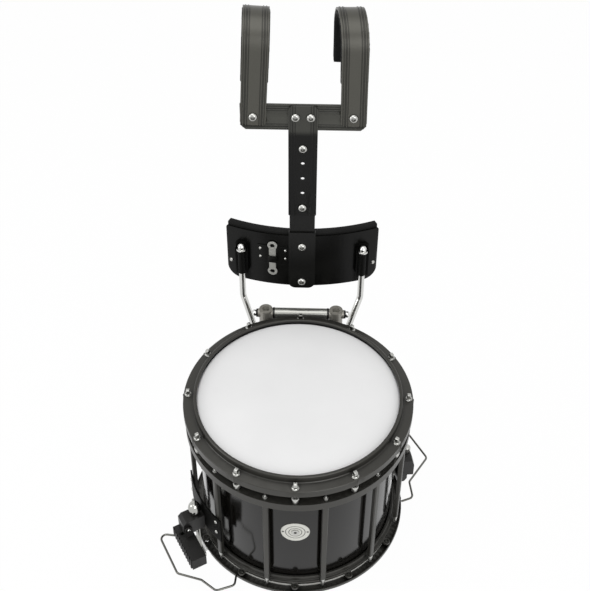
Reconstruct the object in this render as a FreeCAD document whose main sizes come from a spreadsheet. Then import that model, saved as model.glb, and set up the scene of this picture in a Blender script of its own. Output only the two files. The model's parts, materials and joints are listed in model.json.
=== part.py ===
import FreeCAD, Part
import math
import os
import re
import Sketcher

# Marching snare drum hung on its shoulder carrier. Millimetres, +Z up. The origin is on the
# drum's axis in the plane of the bottom rim; -Y is the front, +Y is where the wearer stands.

SIZES = [
    # drum heights, from the plane of the bottom rim
    ("head_height", 315.0), ("shell_radius", 177.8), ("shell_wall", 6.5), ("film", 0.4),
    ("seat_gap", 0.2), ("edge_inset", 2.4), ("edge_drop", 2.6),
    ("collar_gap", 4.4), ("flesh_width", 4.8), ("flesh_height", 6.0),
    ("flesh_drop", 12.0), ("rim_rise", 8.5), ("rim_lip", 177.2), ("rim_wall", 5.6), ("shoulder_drop", 2.6),
    ("shoulder_thickness", 3.4), ("hoop_radius", 201.6), ("hoop_skirt", 18.3), ("skirt_wall", 3.0),
    ("boss_radius", 6.6), ("boss_height", 12.5), ("edge_break", 1.2),
    ("rod_count", 12.0), ("rod_circle", 193.5), ("rod_radius", 2.8), ("rod_hole", 3.2), ("rod_overrun", 8.0),
    ("rod_key", 6.4), ("rod_key_height", 10.2), ("rod_flange", 5.8), ("rod_flange_height", 2.0),
    ("washer_radius", 6.4), ("washer_height", 1.2),
    ("ring_radius", 200.0), ("ring_bore", 178.6), ("ring_top", 273.0), ("ring_height", 16.0),
    ("ring_wall", 3.0), ("ring_plate", 4.0),
    ("nut_radius", 6.6), ("nut_height", 14.0), ("nut_foot", 4.6), ("nut_foot_height", 10.0),
    ("strut_circle", 192.8), ("strut_width", 10.0), ("strut_depth", 8.0), ("strut_foot", 38.0),
    ("strut_chamfer", 1.6), ("tip_base", 17.0), ("tip_radius", 4.5), ("tip_end", 2.2),
    ("tip_peg", 4.0),
    ("stud_radius", 2.0), ("stud_rise", 8.0), ("stud_nut_radius", 4.2), ("stud_nut_height", 3.6),
    ("foot_flange", 25.0), ("foot_lip", 34.0), ("foot_lip_radius", 184.0),
    ("foot_plate", 5.8), ("foot_ring_radius", 188.7), ("ear_radius", 7.4), ("ear_height", 4.2),
    ("low_nut", 4.6), ("low_nut_height", 4.0),
    ("rim_depth", 8.4), ("low_hoop_radius", 201.0), ("low_hoop_lip", 15.0), ("low_plate", 3.2),
    ("low_head", 10.0),
    ("snare_angle", -60.0), ("snare_offset", 4.0), ("gate_half", 24.0), ("gate_floor", 3.0),
    ("gate_roof", 10.4),
    ("strand_radius", 0.7), ("strand_pitch", 2.5), ("strand_count", 12.0), ("strand_drop", 1.0),
    ("snare_reach", 206.0), ("clamp_depth", 9.0), ("clamp_half", 22.0), ("clamp_base", 5.2),
    ("clamp_height", 9.0), ("stem_half", 9.0), ("carriage_plate", 2.6),
    # strainer and butt on their arc plates
    ("saddle_half_angle", 18.5), ("saddle_wall", 3.0), ("saddle_base", 86.0), ("saddle_height", 62.0),
    ("throw_half", 13.0), ("throw_reach", 241.0), ("throw_base", 82.0), ("throw_top", 116.0),
    ("slot_play", 0.8),
    ("lever_inner", 223.0), ("lever_outer", 252.0), ("lever_base", 53.0), ("lever_height", 26.0),
    ("lever_back", 16.5), ("lever_front", 66.0), ("pivot_reach", 233.0), ("pivot_height", 98.0),
    ("pivot_radius", 3.0), ("ear_wall", 3.0), ("ear_play", 0.5), ("rib_count", 11.0),
    ("knob_radius", 11.6), ("knob_height", 18.0), ("knob_reach", 213.0), ("knob_post", 4.0),
    ("knob_post_rise", 22.0), ("knob_teeth", 24.0),
    ("butt_reach", 222.0), ("butt_base", 6.0), ("butt_top", 78.0), ("tower_angle", 18.0),
    ("tower_width", 14.0), ("tower_base", 72.0), ("tower_top", 112.0), ("tower_reach", 222.0),
    ("butt_knob_reach", 211.0), ("butt_knob_radius", 7.6),
    ("butt_knob_depth", 13.0), ("butt_knob_teeth", 18.0),
    ("wire_radius", 2.0), ("guard_height", 17.0), ("guard_bend", 9.0),
    ("badge_radius", 25.0), ("badge_wall", 1.0), ("badge_height", 166.0), ("vent_radius", 4.0),
    ("grommet_radius", 7.0),
    # swivel mount behind the drum
    ("mount_reach", 222.0), ("mount_height", 298.0), ("tube_radius", 11.0), ("tube_length", 101.0),
    ("tube_bore", 7.5), ("axle_radius", 5.0), ("axle_play", 0.08), ("arm_wall", 3.4),
    ("arm_end", 11.4), ("arm_play", 0.3), ("socket_spread", 67.5), ("socket_radius", 13.0),
    ("socket_top", 309.0), ("socket_length", 44.0), ("socket_play", 0.7),
    ("pinch_radius", 4.0), ("pinch_head", 6.2), ("pinch_head_height", 8.0), ("pinch_washer", 8.2),
    ("pinch_washer_height", 3.2),
    # carrier
    ("leg_radius", 6.3), ("leg_spread", 116.5), ("leg_reach", 290.0), ("leg_bend", 18.0),
    ("leg_knee", 282.0), ("hook_height", 195.0), ("hook_share", 0.72), ("tip_height_up", 300.0),
    ("sleeve_wall", 1.2),
    ("sleeve_play", 0.1), ("sleeve_base", 343.0), ("sleeve_top", 396.0), ("block_half", 12.0),
    ("block_base", 340.0), ("block_top", 412.0), ("cap_nut", 9.4),
    ("plate_front", 284.0), ("plate_curve", 360.0), ("plate_wall", 3.0), ("plate_half_angle", 23.9),
    ("plate_base", 315.0), ("plate_height", 125.0), ("plate_corner", 27.0),
    ("pad_thickness", 22.0), ("pad_crown", 4.0), ("bar_thickness", 5.0), ("bar_width", 51.0),
    ("rib_width", 1.8), ("rib_rise", 1.0), ("rib_edge", 4.0), ("rib_step", 5.0),
    ("bracket_wall", 3.0), ("bracket_base", 316.0), ("bracket_height", 139.0),
    ("bracket_rim", 1.8),
    ("bracket_bolt_low", 333.0), ("bracket_bolt_high", 421.0), ("stem_width", 47.0),
    ("stem_base", 330.0), ("stem_top", 654.0), ("tee_base", 497.5), ("tee_top", 733.0),
    ("tee_width", 51.0), ("hole_pitch", 32.7), ("first_hole", 516.0), ("hole_radius", 3.6),
    ("cross_base", 682.3), ("cross_half", 108.5), ("cross_corner", 9.0), ("strap_bolt", 711.0),
    ("strap_spread", 86.0), ("strap_end", 694.0), ("strap_bend", 834.0), ("strap_arch", 53.0),
    ("strap_width", 44.5), ("strap_tail", 71.0), ("strap_corner", 9.0), ("left_lean", 3.0),
    ("right_lean", 0.9), ("left_drift", 0.05), ("right_drift", 0.122),
    ("foam_thickness", 9.0), ("foam_overhang", 1.5), ("foam_start", 58.0), ("foam_crown", 2.0),
    ("bolt_head", 8.2), ("bolt_head_height", 5.0), ("bolt_radius", 3.2), ("tee_bolt_half", 13.2),
    ("key_offset", -56.0), ("key_ring_radius", 9.4), ("key_ring_bore", 5.2), ("key_span", 60.0),
    ("key_wall", 2.4), ("key_shank", 13.0), ("key_foot", 342.0), ("holder_width", 60.4),
    ("rivet_rise", 40.0),
    ("holder_base", 370.0), ("holder_height", 42.0), ("holder_wall", 1.4), ("band_height", 16.0),
]

doc = FreeCAD.newDocument("marching_snare")
sheet = doc.addObject("Spreadsheet::Sheet", "Sizes")
for row, (alias, value) in enumerate(SIZES, start=1):
    sheet.set(f"A{row}", alias)
    sheet.set(f"B{row}", str(value))
    sheet.setAlias(f"B{row}", alias)
doc.recompute()

V = FreeCAD.Vector
NODES = []


def size(alias):
    return float(sheet.get(alias))


def amount(expression):
    """Value of an expression written with the sheet's aliases."""
    names = {alias: size(alias) for alias, _ in SIZES}
    total = 0.0
    for term in expression.replace("-", "+-").split("+"):
        if not term.strip():
            continue
        sign = -1.0 if term.strip().startswith("-") else 1.0
        product = 1.0
        for factor in term.strip().lstrip("-").split("*"):
            head, *rest = factor.split("/")
            product *= names[head.strip()] if head.strip() in names else float(head)
            for divisor in rest:
                product /= names[divisor.strip()] if divisor.strip() in names else float(divisor)
        total += sign * product
    return total


def bound(expression):
    """The same expression as the document writes it, with each alias read from the sheet."""
    return re.sub(r"[a-z][a-z_]*", lambda found: "Sizes." + found.group(0), expression)


def polygon(sides, radius, level=0.0, turn=0.5):
    """Closed even polygon about the Z axis; turn shifts its corners by that share of a side."""
    angles = [2 * math.pi * (index + turn) / sides for index in range(sides + 1)]
    corners = [V(radius * math.cos(angle), radius * math.sin(angle), level) for angle in angles]
    return Part.makePolygon(corners)


def prism(sides, radius, height, level=0.0):
    """Even prism standing on the Z axis: the plain form of small repeated hardware."""
    return Part.Face(polygon(sides, radius, level)).extrude(V(0, 0, height))


def taper(sides, low_radius, high_radius, height, level=0.0):
    """Even prism that narrows upwards."""
    return Part.makeLoft([polygon(sides, low_radius, level), polygon(sides, high_radius, level + height)],
                         True, True)


def node(label, thing):
    thing.Label = label
    NODES.append(thing)
    return thing


def feature(label, shape):
    """A piece whose shape comes from the sheet's values through code."""
    thing = doc.addObject("Part::Feature", label)
    thing.Shape = shape
    return thing


def outline(body, plane, points, name):
    """Closed sketch of straight edges, each corner held at its bound coordinates."""
    sketch = body.newObject("Sketcher::SketchObject", name)
    origin = [item for item in body.Origin.OriginFeatures if item.Role == plane][0]
    sketch.AttachmentSupport = (origin, "")
    sketch.MapMode = "FlatFace"
    values = [(amount(across), amount(along)) for across, along in points]
    total = len(points)
    for index in range(total):
        start = values[index]
        end = values[(index + 1) % total]
        sketch.addGeometry(Part.LineSegment(V(*start, 0), V(*end, 0)), False)
    for index in range(total):
        sketch.addConstraint(Sketcher.Constraint("Coincident", index, 2, (index + 1) % total, 1))
    for index, (across, along) in enumerate(points):
        for kind, text, value in (("DistanceX", across, values[index][0]),
                                  ("DistanceY", along, values[index][1])):
            number = sketch.addConstraint(Sketcher.Constraint(kind, -1, 1, index, 1, value))
            sketch.setExpression(f"Constraints[{number}]", bound(text))
    return sketch


def new_body(name):
    return doc.addObject("PartDesign::Body", name)


def ring_pattern(body, feature_list, count, name):
    """Copies of features at even angles round the Z axis; the pattern becomes the tip."""
    pattern = body.newObject("PartDesign::PolarPattern", name)
    pattern.Originals = feature_list
    axis = [item for item in body.Origin.OriginFeatures if item.Role == "Z_Axis"][0]
    pattern.Axis = (axis, [""])
    pattern.Angle = 360
    pattern.setExpression("Occurrences", bound(count))
    body.Tip = pattern
    return pattern


def revolved(name, points, angle=None):
    """Body turned round Z from its half section; angle makes it a sector centred on +X."""
    body = new_body(name)
    sketch = outline(body, "XZ_Plane", points, name + "_section")
    turn = body.newObject("PartDesign::Revolution", name + "_turn")
    turn.Profile = sketch
    turn.ReferenceAxis = (sketch, ["V_Axis"])
    turn.Angle = 360
    if angle:
        turn.Midplane = True
        turn.setExpression("Angle", bound(angle))
    return body


def padded(name, plane, points, length):
    """Body drawn on a plane and padded evenly to both sides of it."""
    body = new_body(name)
    sketch = outline(body, plane, points, name + "_outline")
    pad = body.newObject("PartDesign::Pad", name + "_pad")
    pad.Profile = sketch
    pad.Midplane = True
    pad.setExpression("Length", bound(length))
    return body


def block(name, low, high):
    """Part box between two corners, each coordinate bound."""
    box = doc.addObject("Part::Box", name)
    for key, axis in (("Length", 0), ("Width", 1), ("Height", 2)):
        box.setExpression(key, bound(f"{high[axis]}-({low[axis]})"))
    for key, text in zip(("x", "y", "z"), low):
        box.setExpression(f"Placement.Base.{key}", bound(text))
    return box


def rod(name, radius, length, base, direction="z"):
    """Part cylinder from a base point along an axis."""
    cylinder = doc.addObject("Part::Cylinder", name)
    cylinder.setExpression("Radius", bound(radius))
    cylinder.setExpression("Height", bound(length))
    if direction == "x":
        cylinder.Placement.Rotation = FreeCAD.Rotation(V(0, 1, 0), 90)
    if direction == "y":
        cylinder.Placement.Rotation = FreeCAD.Rotation(V(1, 0, 0), -90)
    for key, text in zip(("x", "y", "z"), base):
        cylinder.setExpression(f"Placement.Base.{key}", bound(text))
    return cylinder


def fused(name, *pieces):
    union = doc.addObject("Part::MultiFuse", name)
    union.Shapes = list(pieces)
    union.Refine = True
    return union


def cut(name, base, tool):
    difference = doc.addObject("Part::Cut", name)
    difference.Base = base
    difference.Tool = tool
    difference.Refine = True
    return difference


def turned(thing, angle):
    """Stands a piece made about +X at a bound angle round the drum's axis."""
    thing.Placement = FreeCAD.Placement(V(), FreeCAD.Rotation(V(0, 0, 1), amount(angle)))
    thing.setExpression("Placement.Rotation.Angle", bound(angle))
    return thing


def copies(label, source, angles, skip=()):
    """Separate solids of one piece at the given angles round the drum's axis."""
    doc.recompute()
    shapes = []
    for angle in angles:
        if angle in skip:
            continue
        shape = source.Shape.copy()
        shape.rotate(V(), V(0, 0, 1), angle)
        shapes.append(shape)
    return node(label, feature(label, Part.makeCompound(shapes)))


COUNT = int(size("rod_count"))
STEP = 360.0 / COUNT
ROD_ANGLES = [index * STEP for index in range(COUNT)]
STRUT_ANGLES = [(index + 0.5) * STEP for index in range(COUNT)]
STRAINER_TURN = "snare_angle+270"
BUTT_TURN = "snare_angle+90"


# Drum shell, heads and hoops

def make_shell():
    top = "head_height-film-seat_gap"
    low = "low_head+film+seat_gap"
    body = revolved("shell_body", [
        ("shell_radius-shell_wall", low + "+edge_drop+2"), ("shell_radius-edge_inset", low),
        ("shell_radius", low + "+edge_drop"), ("shell_radius", top + "-edge_drop"),
        ("shell_radius-edge_inset", top), ("shell_radius-shell_wall", top + "-edge_drop-2")])
    vent = rod("vent_cut", "vent_radius", "2*shell_wall", ("0", "-shell_radius-1", "badge_height"), "y")
    return node("shell", cut("shell", body, vent))


def make_heads():
    """A head is its film bonded into a flesh hoop, so each is one piece."""
    flange = "head_height-flesh_drop"
    node("batter_head", revolved("batter_head_body", [
        ("0", "head_height"), ("shell_radius-edge_inset", "head_height"),
        ("shell_radius+0.9", "head_height-edge_drop"), ("shell_radius+collar_gap", "head_height-9"),
        ("shell_radius+collar_gap", flange), ("shell_radius+collar_gap+flesh_width", flange),
        ("shell_radius+collar_gap+flesh_width", flange + "-flesh_height-3"),
        ("shell_radius+collar_gap-film", flange + "-flesh_height-3"),
        ("shell_radius+collar_gap-film", "head_height-9"),
        ("shell_radius+0.4", "head_height-edge_drop-0.3"),
        ("shell_radius-edge_inset-film/2", "head_height-film"), ("0", "head_height-film")]))
    seat = "rim_depth+low_plate+0.8"
    node("snare_head", revolved("snare_head_body", [
        ("0", "low_head"), ("shell_radius-edge_inset", "low_head"), ("shell_radius+collar_gap-film", seat),
        ("shell_radius+collar_gap+flesh_width", seat),
        ("shell_radius+collar_gap+flesh_width", seat + "+flesh_height"),
        ("shell_radius+collar_gap-film", seat + "+flesh_height"),
        ("shell_radius+collar_gap-film", seat + "+film"),
        ("shell_radius-edge_inset-film/2", "low_head+film"), ("0", "low_head+film")]))


def make_top_hoop():
    flange = "head_height-shoulder_drop-shoulder_thickness"
    body = revolved("top_hoop_body", [
        ("shell_radius+collar_gap+1.4", "head_height-flesh_drop"), ("rim_lip", "head_height+rim_rise-3.5"),
        ("rim_lip", "head_height+rim_rise-0.9"), ("rim_lip+edge_break", "head_height+rim_rise"),
        ("rim_lip+rim_wall-edge_break", "head_height+rim_rise"),
        ("rim_lip+rim_wall", "head_height+rim_rise-edge_break"),
        ("rim_lip+rim_wall+0.6", "head_height-shoulder_drop"),
        ("rim_lip+rim_wall+1.8", "head_height-shoulder_drop-1.4"),
        ("hoop_radius-edge_break", "head_height-shoulder_drop-1.4"),
        ("hoop_radius", "head_height-shoulder_drop-1.4-edge_break"),
        ("hoop_radius", "head_height-hoop_skirt"),
        ("hoop_radius-skirt_wall", "head_height-hoop_skirt"), ("hoop_radius-skirt_wall", flange),
        ("shell_radius+collar_gap+flesh_width+0.4", flange),
        ("shell_radius+collar_gap+flesh_width+0.4", "head_height-flesh_drop")])
    boss = even_piece(body, "Additive", 8, "boss_radius", "head_height-hoop_skirt", "boss_height")
    boss.setExpression("Placement.Base.y", bound("-hoop_radius+boss_radius-1.4"))
    ring_pattern(body, [boss], "rod_count", "hoop_bosses")
    rod_holes(body, "top_hoop", "head_height-hoop_skirt-1", "hoop_skirt")
    return node("top_hoop", body)


def even_piece(body, kind, sides, radius, level, height):
    """Even prism at the foremost rod position, added to the body or taken from it."""
    piece = body.newObject(f"PartDesign::{kind}Prism", body.Name + "_" + kind.lower())
    piece.Polygon = sides
    piece.setExpression("Circumradius", bound(radius))
    piece.setExpression("Height", bound(height))
    piece.setExpression("Placement.Base.y", bound("-rod_circle"))
    piece.setExpression("Placement.Base.z", bound(level))
    return piece


def rod_holes(body, name, level, height):
    """Eight-sided clearance holes for the tension rods, all round a hoop or ring."""
    hole = even_piece(body, "Subtractive", 8, "rod_hole*1.1", level, height)
    ring_pattern(body, [hole], "rod_count", name + "_holes")


def make_rings():
    low = "ring_top-ring_height"
    body = revolved("upper_ring_body", [
        ("ring_bore", low), ("ring_bore", "ring_top"), ("ring_radius", "ring_top"), ("ring_radius", low),
        ("ring_radius-ring_wall", low), ("ring_radius-ring_wall", "ring_top-ring_plate"),
        ("ring_bore+ring_wall", "ring_top-ring_plate"), ("ring_bore+ring_wall", low)])
    rod_holes(body, "upper_ring", low, "ring_height+1")
    node("upper_ring", body)
    under = "foot_flange-foot_plate"
    body = revolved("lower_ring_body", [
        ("ring_bore", under), ("ring_bore", "foot_lip"), ("foot_lip_radius", "foot_lip"),
        ("foot_lip_radius", "foot_flange"), ("foot_ring_radius", "foot_flange"),
        ("foot_ring_radius", under)])
    ear = even_piece(body, "Additive", 8, "ear_radius", under, "ear_height")
    ring_pattern(body, [ear], "rod_count", "lower_ring_ears")
    rod_holes(body, "lower_ring", under + "-1", "foot_plate+2")
    node("lower_ring", body)


def make_bottom_hoop():
    plate_top = "rim_depth+low_plate"
    body = revolved("bottom_hoop_body", [
        ("rim_lip+0.6", "0"), ("rim_lip+rim_wall", "0"), ("rim_lip+rim_wall", "rim_depth"),
        ("low_hoop_radius", "rim_depth"), ("low_hoop_radius", "low_hoop_lip"),
        ("low_hoop_radius-2.4", "low_hoop_lip"), ("low_hoop_radius-2.4", plate_top),
        ("shell_radius+collar_gap+flesh_width+0.4", plate_top),
        ("shell_radius+collar_gap+flesh_width+0.4", plate_top + "+0.8"),
        ("shell_radius+collar_gap+0.8", plate_top + "+0.8"), ("rim_lip+0.6", "rim_depth-0.8")])
    rod_holes(body, "bottom_hoop", "rim_depth-1", "low_hoop_lip")
    gates = []
    for name, turn, side in (("strainer_gate", STRAINER_TURN, ""), ("butt_gate", BUTT_TURN, "-")):
        centre = side + "snare_offset"
        gate = block(name, ("rim_lip-6", centre + "-gate_half", "gate_floor"),
                     ("low_hoop_radius+4", centre + "+gate_half", "gate_roof"))
        gates.append(turned_about_axis(gate, turn))
    return node("bottom_hoop", cut("bottom_hoop", body, fused("snare_gates", *gates)))


def turned_about_axis(thing, turn):
    """Carries a bound piece, made about +X, round the drum's axis inside a one-piece compound."""
    carrier = doc.addObject("Part::Compound", thing.Name + "_set")
    carrier.Links = [thing]
    return turned(carrier, turn)


# Tension rods, nuts, struts

def placed_rod(shape, level):
    """Moves a piece made at the origin to the foremost rod position at a height."""
    shape.translate(V(0, -size("rod_circle"), level))
    return shape


def make_top_rods():
    """Tension rods with square key heads over a washer face, and the receiver nuts on the ring."""
    doc.recompute()
    seat = amount("head_height-shoulder_drop-1.4")
    flange = prism(12, size("washer_radius"), size("washer_height"))
    collar = taper(12, size("rod_flange"), size("rod_flange") - 1.0, size("rod_flange_height"),
                   size("washer_height"))
    length = seat - size("ring_top") + size("rod_overrun")
    shank = prism(8, size("rod_radius"), length, -length)
    key = Part.makeBox(size("rod_key"), size("rod_key"), size("rod_key_height"),
                       V(-size("rod_key") / 2, -size("rod_key") / 2, size("washer_height")))
    rod_shape = placed_rod(flange.fuse([collar, shank, key]).removeSplitter(), seat)
    copies("top_tension_rods", feature("top_rod", rod_shape), ROD_ANGLES)
    nut = taper(8, size("nut_foot"), size("nut_radius"), size("nut_foot_height")).fuse(
        prism(8, size("nut_radius"), size("nut_height") - size("nut_foot_height"), size("nut_foot_height")))
    nut = nut.cut(prism(8, size("rod_hole") * 1.02, size("nut_height") + 2, -1)).removeSplitter()
    copies("receiver_nuts", feature("receiver_nut", placed_rod(nut, size("ring_top"))), ROD_ANGLES)


def make_bottom_rods():
    """Bolts up through the bottom hoop into nuts under the lower ring's ears."""
    doc.recompute()
    angles = [angle for angle in ROD_ANGLES if not crosses_snares(angle)]
    cap = size("rod_flange_height") + 1.2
    head = taper(12, size("rod_flange") - 1.6, size("rod_flange") - 0.6, cap, -cap)
    under = amount("foot_flange-foot_plate")
    shank = prism(8, size("rod_radius"), under + size("ear_height") - size("rim_depth"))
    bolt = placed_rod(head.fuse(shank).removeSplitter(), size("rim_depth"))
    copies("bottom_tension_bolts", feature("bottom_bolt", bolt), angles)
    nut = prism(6, size("low_nut"), size("low_nut_height"))
    nut = placed_rod(nut.cut(prism(8, size("rod_hole") * 1.02, 20, -1)), under - size("low_nut_height"))
    copies("bottom_nuts", feature("low_nut", nut), angles)


def crosses_snares(angle):
    """True where a bottom bolt would stand in one of the two snare gates."""
    gap = (angle - size("snare_angle")) % 180
    return min(gap, 180 - gap) < STEP / 3


def make_struts():
    top = "ring_top-ring_plate"
    half = "strut_width/2"
    inner = "strut_circle-strut_depth/2"
    outer = "strut_circle+strut_depth/2"
    body = new_body("strut_bar")
    section = outline(body, "XY_Plane", [
        (inner, "-strut_width/2"), (outer + "-strut_chamfer", "-strut_width/2"),
        (outer, "-strut_width/2+strut_chamfer"), (outer, half + "-strut_chamfer"),
        (outer + "-strut_chamfer", half), (inner, half)], "strut_section")
    pad = body.newObject("PartDesign::Pad", "strut_pad")
    pad.Profile = section
    pad.setExpression("Length", bound(top + "-strut_foot"))
    pad_base = bound("strut_foot")
    section.AttachmentOffset = FreeCAD.Placement(V(0, 0, size("strut_foot")), FreeCAD.Rotation())
    section.setExpression("AttachmentOffset.Base.z", pad_base)
    copies("struts", body, [angle - 90 for angle in STRUT_ANGLES])
    tip = taper(8, size("tip_end"), size("tip_radius"), size("strut_foot") - size("tip_base"))
    tip.translate(V(size("strut_circle"), 0, size("tip_base")))
    peg = size("tip_peg")
    peg_foot = V(size("foot_ring_radius") + 0.02, -peg / 2, size("foot_flange") - peg - 1)
    tip = tip.fuse(Part.makeBox(size("strut_circle") - peg_foot.x, peg, peg, peg_foot)).removeSplitter()
    copies("strut_tips", feature("strut_tip", tip), [angle - 90 for angle in STRUT_ANGLES])
    stud = prism(6, size("stud_nut_radius"), size("stud_nut_height")).fuse(
        prism(8, size("stud_radius"), size("stud_rise")))
    stud.translate(V(size("strut_circle"), 0, size("ring_top")))
    copies("strut_studs", feature("strut_stud", stud), [angle - 90 for angle in STRUT_ANGLES])


def make_vent():
    """Air vent on the front: a plain round plate curved to the shell, its grommet and rivets."""
    body = revolved("badge_sheet", [
        ("shell_radius+0.05", "badge_height-badge_radius"),
        ("shell_radius+badge_wall", "badge_height-badge_radius"),
        ("shell_radius+badge_wall", "badge_height+badge_radius"),
        ("shell_radius+0.05", "badge_height+badge_radius")], "40")
    turned(body, "270")
    disc = rod("badge_disc", "badge_radius", "20", ("0", "-shell_radius-10", "badge_height"), "y")
    round_plate = doc.addObject("Part::Common", "badge_round")
    round_plate.Base = body
    round_plate.Tool = disc
    hole = rod("badge_hole", "vent_radius", "40", ("0", "-shell_radius-20", "badge_height"), "y")
    node("badge_plate", cut("badge_plate", round_plate, hole))
    doc.recompute()
    grommet = prism(16, size("grommet_radius"), 1.2).fuse(
        prism(12, size("vent_radius") - 0.1, size("shell_wall") + 2.4, -size("shell_wall") - 2.4))
    grommet = grommet.cut(prism(12, size("vent_radius") - 1.3, 30, -20))
    grommet.rotate(V(), V(1, 0, 0), 90)
    grommet.translate(V(0, -size("shell_radius") - size("badge_wall") - 0.1, size("badge_height")))
    node("vent_grommet", feature("vent_grommet", grommet))


# Snares, strainer and butt. Pieces are made about +X and stood at the snare angle.

def local_set(label, source, turn):
    doc.recompute()
    return node(label, turned_about_axis(source, turn))


def make_snares():
    doc.recompute()
    reach = size("snare_reach")
    height = size("low_head") - size("strand_drop")
    count = int(size("strand_count"))
    pitch = size("strand_pitch")
    strands = []
    for index in range(count):
        across = size("snare_offset") + (index - (count - 1) / 2) * pitch
        strand = prism(6, size("strand_radius"), 2 * reach)
        strand.rotate(V(), V(0, 1, 0), 90)
        strand.translate(V(-reach, across, height))
        strand.rotate(V(), V(0, 0, 1), amount(STRAINER_TURN))
        strands.append(strand)
    node("snare_strands", feature("snare_strands", Part.makeCompound(strands)))
    for name, turn, side in (("strainer_snare_clamp", STRAINER_TURN, ""),
                             ("butt_snare_clamp", BUTT_TURN, "-")):
        centre = side + "snare_offset"
        jaw = block(name + "_jaw", ("snare_reach", centre + "-clamp_half", "clamp_base"),
                    ("snare_reach+clamp_depth", centre + "+clamp_half", "clamp_base+clamp_height"))
        top = "throw_base+19" if side == "" else "butt_top-12"
        stem = block(name + "_stem", ("snare_reach+3", centre + "-stem_half", "clamp_base"),
                     ("snare_reach+3+carriage_plate", centre + "+stem_half", top))
        local_set(name, fused(name + "_blank", jaw, stem), turn)


def saddle(name, turn, low, high):
    """Arc plate that sits on the outer faces of two struts."""
    inner = "strut_circle+strut_depth/2+0.25"
    body = revolved(name + "_arc", [
        (inner, low), (inner + "+saddle_wall", low), (inner + "+saddle_wall", high), (inner, high)],
        "2*saddle_half_angle")
    return body


def make_strainer():
    inner = "strut_circle+strut_depth/2+0.25"
    face = inner + "+saddle_wall"
    plate = saddle("strainer_saddle", STRAINER_TURN, "saddle_base", "saddle_base+saddle_height")
    local_set("strainer_saddle", plate, STRAINER_TURN)
    low = "snare_offset-throw_half"
    high = "snare_offset+throw_half"
    body = padded("throw_body", "XZ_Plane", [
        (face, "throw_base"), ("throw_reach-4", "throw_base"), ("throw_reach", "throw_base+4"),
        ("throw_reach", "throw_top-6"), ("throw_reach-6", "throw_top"), (face, "throw_top")],
        "2*throw_half")
    shift(body, "snare_offset")
    slot = block("throw_slot",
                 ("snare_reach+3-slot_play", "snare_offset-stem_half-slot_play", "throw_base-1"),
                 ("snare_reach+3+carriage_plate+slot_play", "snare_offset+stem_half+slot_play",
                  "throw_base+22"))
    bore = rod("throw_pivot_bore", "pivot_radius+0.05", "2*throw_half+2",
               ("pivot_reach", low + "-1", "pivot_height"), "y")
    post = rod("throw_post_bore", "knob_post+0.4", "30", ("knob_reach", "snare_offset", "throw_top-10.5"))
    local_set("strainer_block", cut("strainer_block_cut", body, fused("throw_cuts", slot, bore, post)),
              STRAINER_TURN)
    pin = rod("lever_pin_rod", "pivot_radius", "2*throw_half+2*ear_wall+2*ear_play+4",
              ("pivot_reach", low + "-ear_wall-ear_play-2", "pivot_height"), "y")
    local_set("lever_pin", pin, STRAINER_TURN)
    make_lever(low, high)
    make_screw_set(inner)


def shift(thing, across):
    """Moves a body that is made about +X sideways to a bound offset."""
    thing.setExpression("Placement.Base.y", bound(across))


def make_lever(low, high):
    """Throw-off lever: a ribbed thumb bar with two ears that ride on the pivot pin."""
    bar = block("lever_bar", ("lever_inner", "snare_offset-lever_back", "lever_base"),
                ("lever_outer-2", "snare_offset+lever_front", "lever_base+lever_height"))
    pieces = [bar]
    for name, near, far in (("lever_back_ear", low + "-ear_play-ear_wall", low + "-ear_play"),
                            ("lever_front_ear", high + "+ear_play", high + "+ear_play+ear_wall")):
        web = block(name, ("pivot_reach-7", near, "lever_base+lever_height-2"),
                    ("pivot_reach+7", far, "pivot_height"))
        eye = rod(name + "_eye", "7", "ear_wall", ("pivot_reach", near, "pivot_height"), "y")
        pieces += [web, eye]
    count = int(size("rib_count"))
    for index in range(count):
        start = f"snare_offset-lever_back+(lever_back+lever_front)*{index}/{count}"
        rib = block(f"lever_rib_{index}", ("lever_outer-2", "0", "lever_base"),
                    ("lever_outer", "3.6", "lever_base+lever_height"))
        rib.setExpression("Placement.Base.y", bound(start))
        pieces.append(rib)
    blank = fused("lever_blank", *pieces)
    bore = rod("lever_bore", "pivot_radius+0.05", "4*throw_half",
               ("pivot_reach", "snare_offset-2*throw_half", "pivot_height"), "y")
    thumb = rod("lever_hole", "3.4", "12", ("lever_outer-10", "snare_offset+5", "lever_base+lever_height-8"))
    local_set("throw_off_lever", cut("lever_cut", blank, fused("lever_cuts", bore, thumb)), STRAINER_TURN)


def knurled(radius, height, teeth):
    """Toothed knob with a plain narrower crown, standing on the origin."""
    depth = 0.9
    corners = []
    for index in range(2 * teeth + 1):
        reach = radius if index % 2 else radius - depth
        angle = math.pi * index / teeth
        corners.append(V(reach * math.cos(angle), reach * math.sin(angle), 0))
    grip = Part.Face(Part.makePolygon(corners)).extrude(V(0, 0, height - 2))
    return grip.fuse(taper(16, radius - 1.4, radius - 2.4, 2, height - 2))


def make_knobs():
    doc.recompute()
    post = prism(12, size("knob_post"), size("knob_height") + size("knob_post_rise") + 10, -10)
    knob = knurled(size("knob_radius"), size("knob_height"), int(size("knob_teeth")))
    shape = knob.fuse(post).removeSplitter()
    shape.translate(V(size("knob_reach"), size("snare_offset"), size("throw_top") + 0.4))
    shape.rotate(V(), V(0, 0, 1), amount(STRAINER_TURN))
    node("tension_knob", feature("tension_knob", shape))
    knob = knurled(size("butt_knob_radius"), size("butt_knob_depth"), int(size("butt_knob_teeth")))
    shape = knob.fuse(prism(12, 3, size("butt_knob_depth") + 11, -14)).removeSplitter()
    shape.translate(V(size("butt_knob_reach"), 0, size("tower_top") + 0.4))
    shape.rotate(V(), V(0, 0, 1), amount(BUTT_TURN) - size("tower_angle"))
    node("butt_knob", feature("butt_knob", shape))


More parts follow.
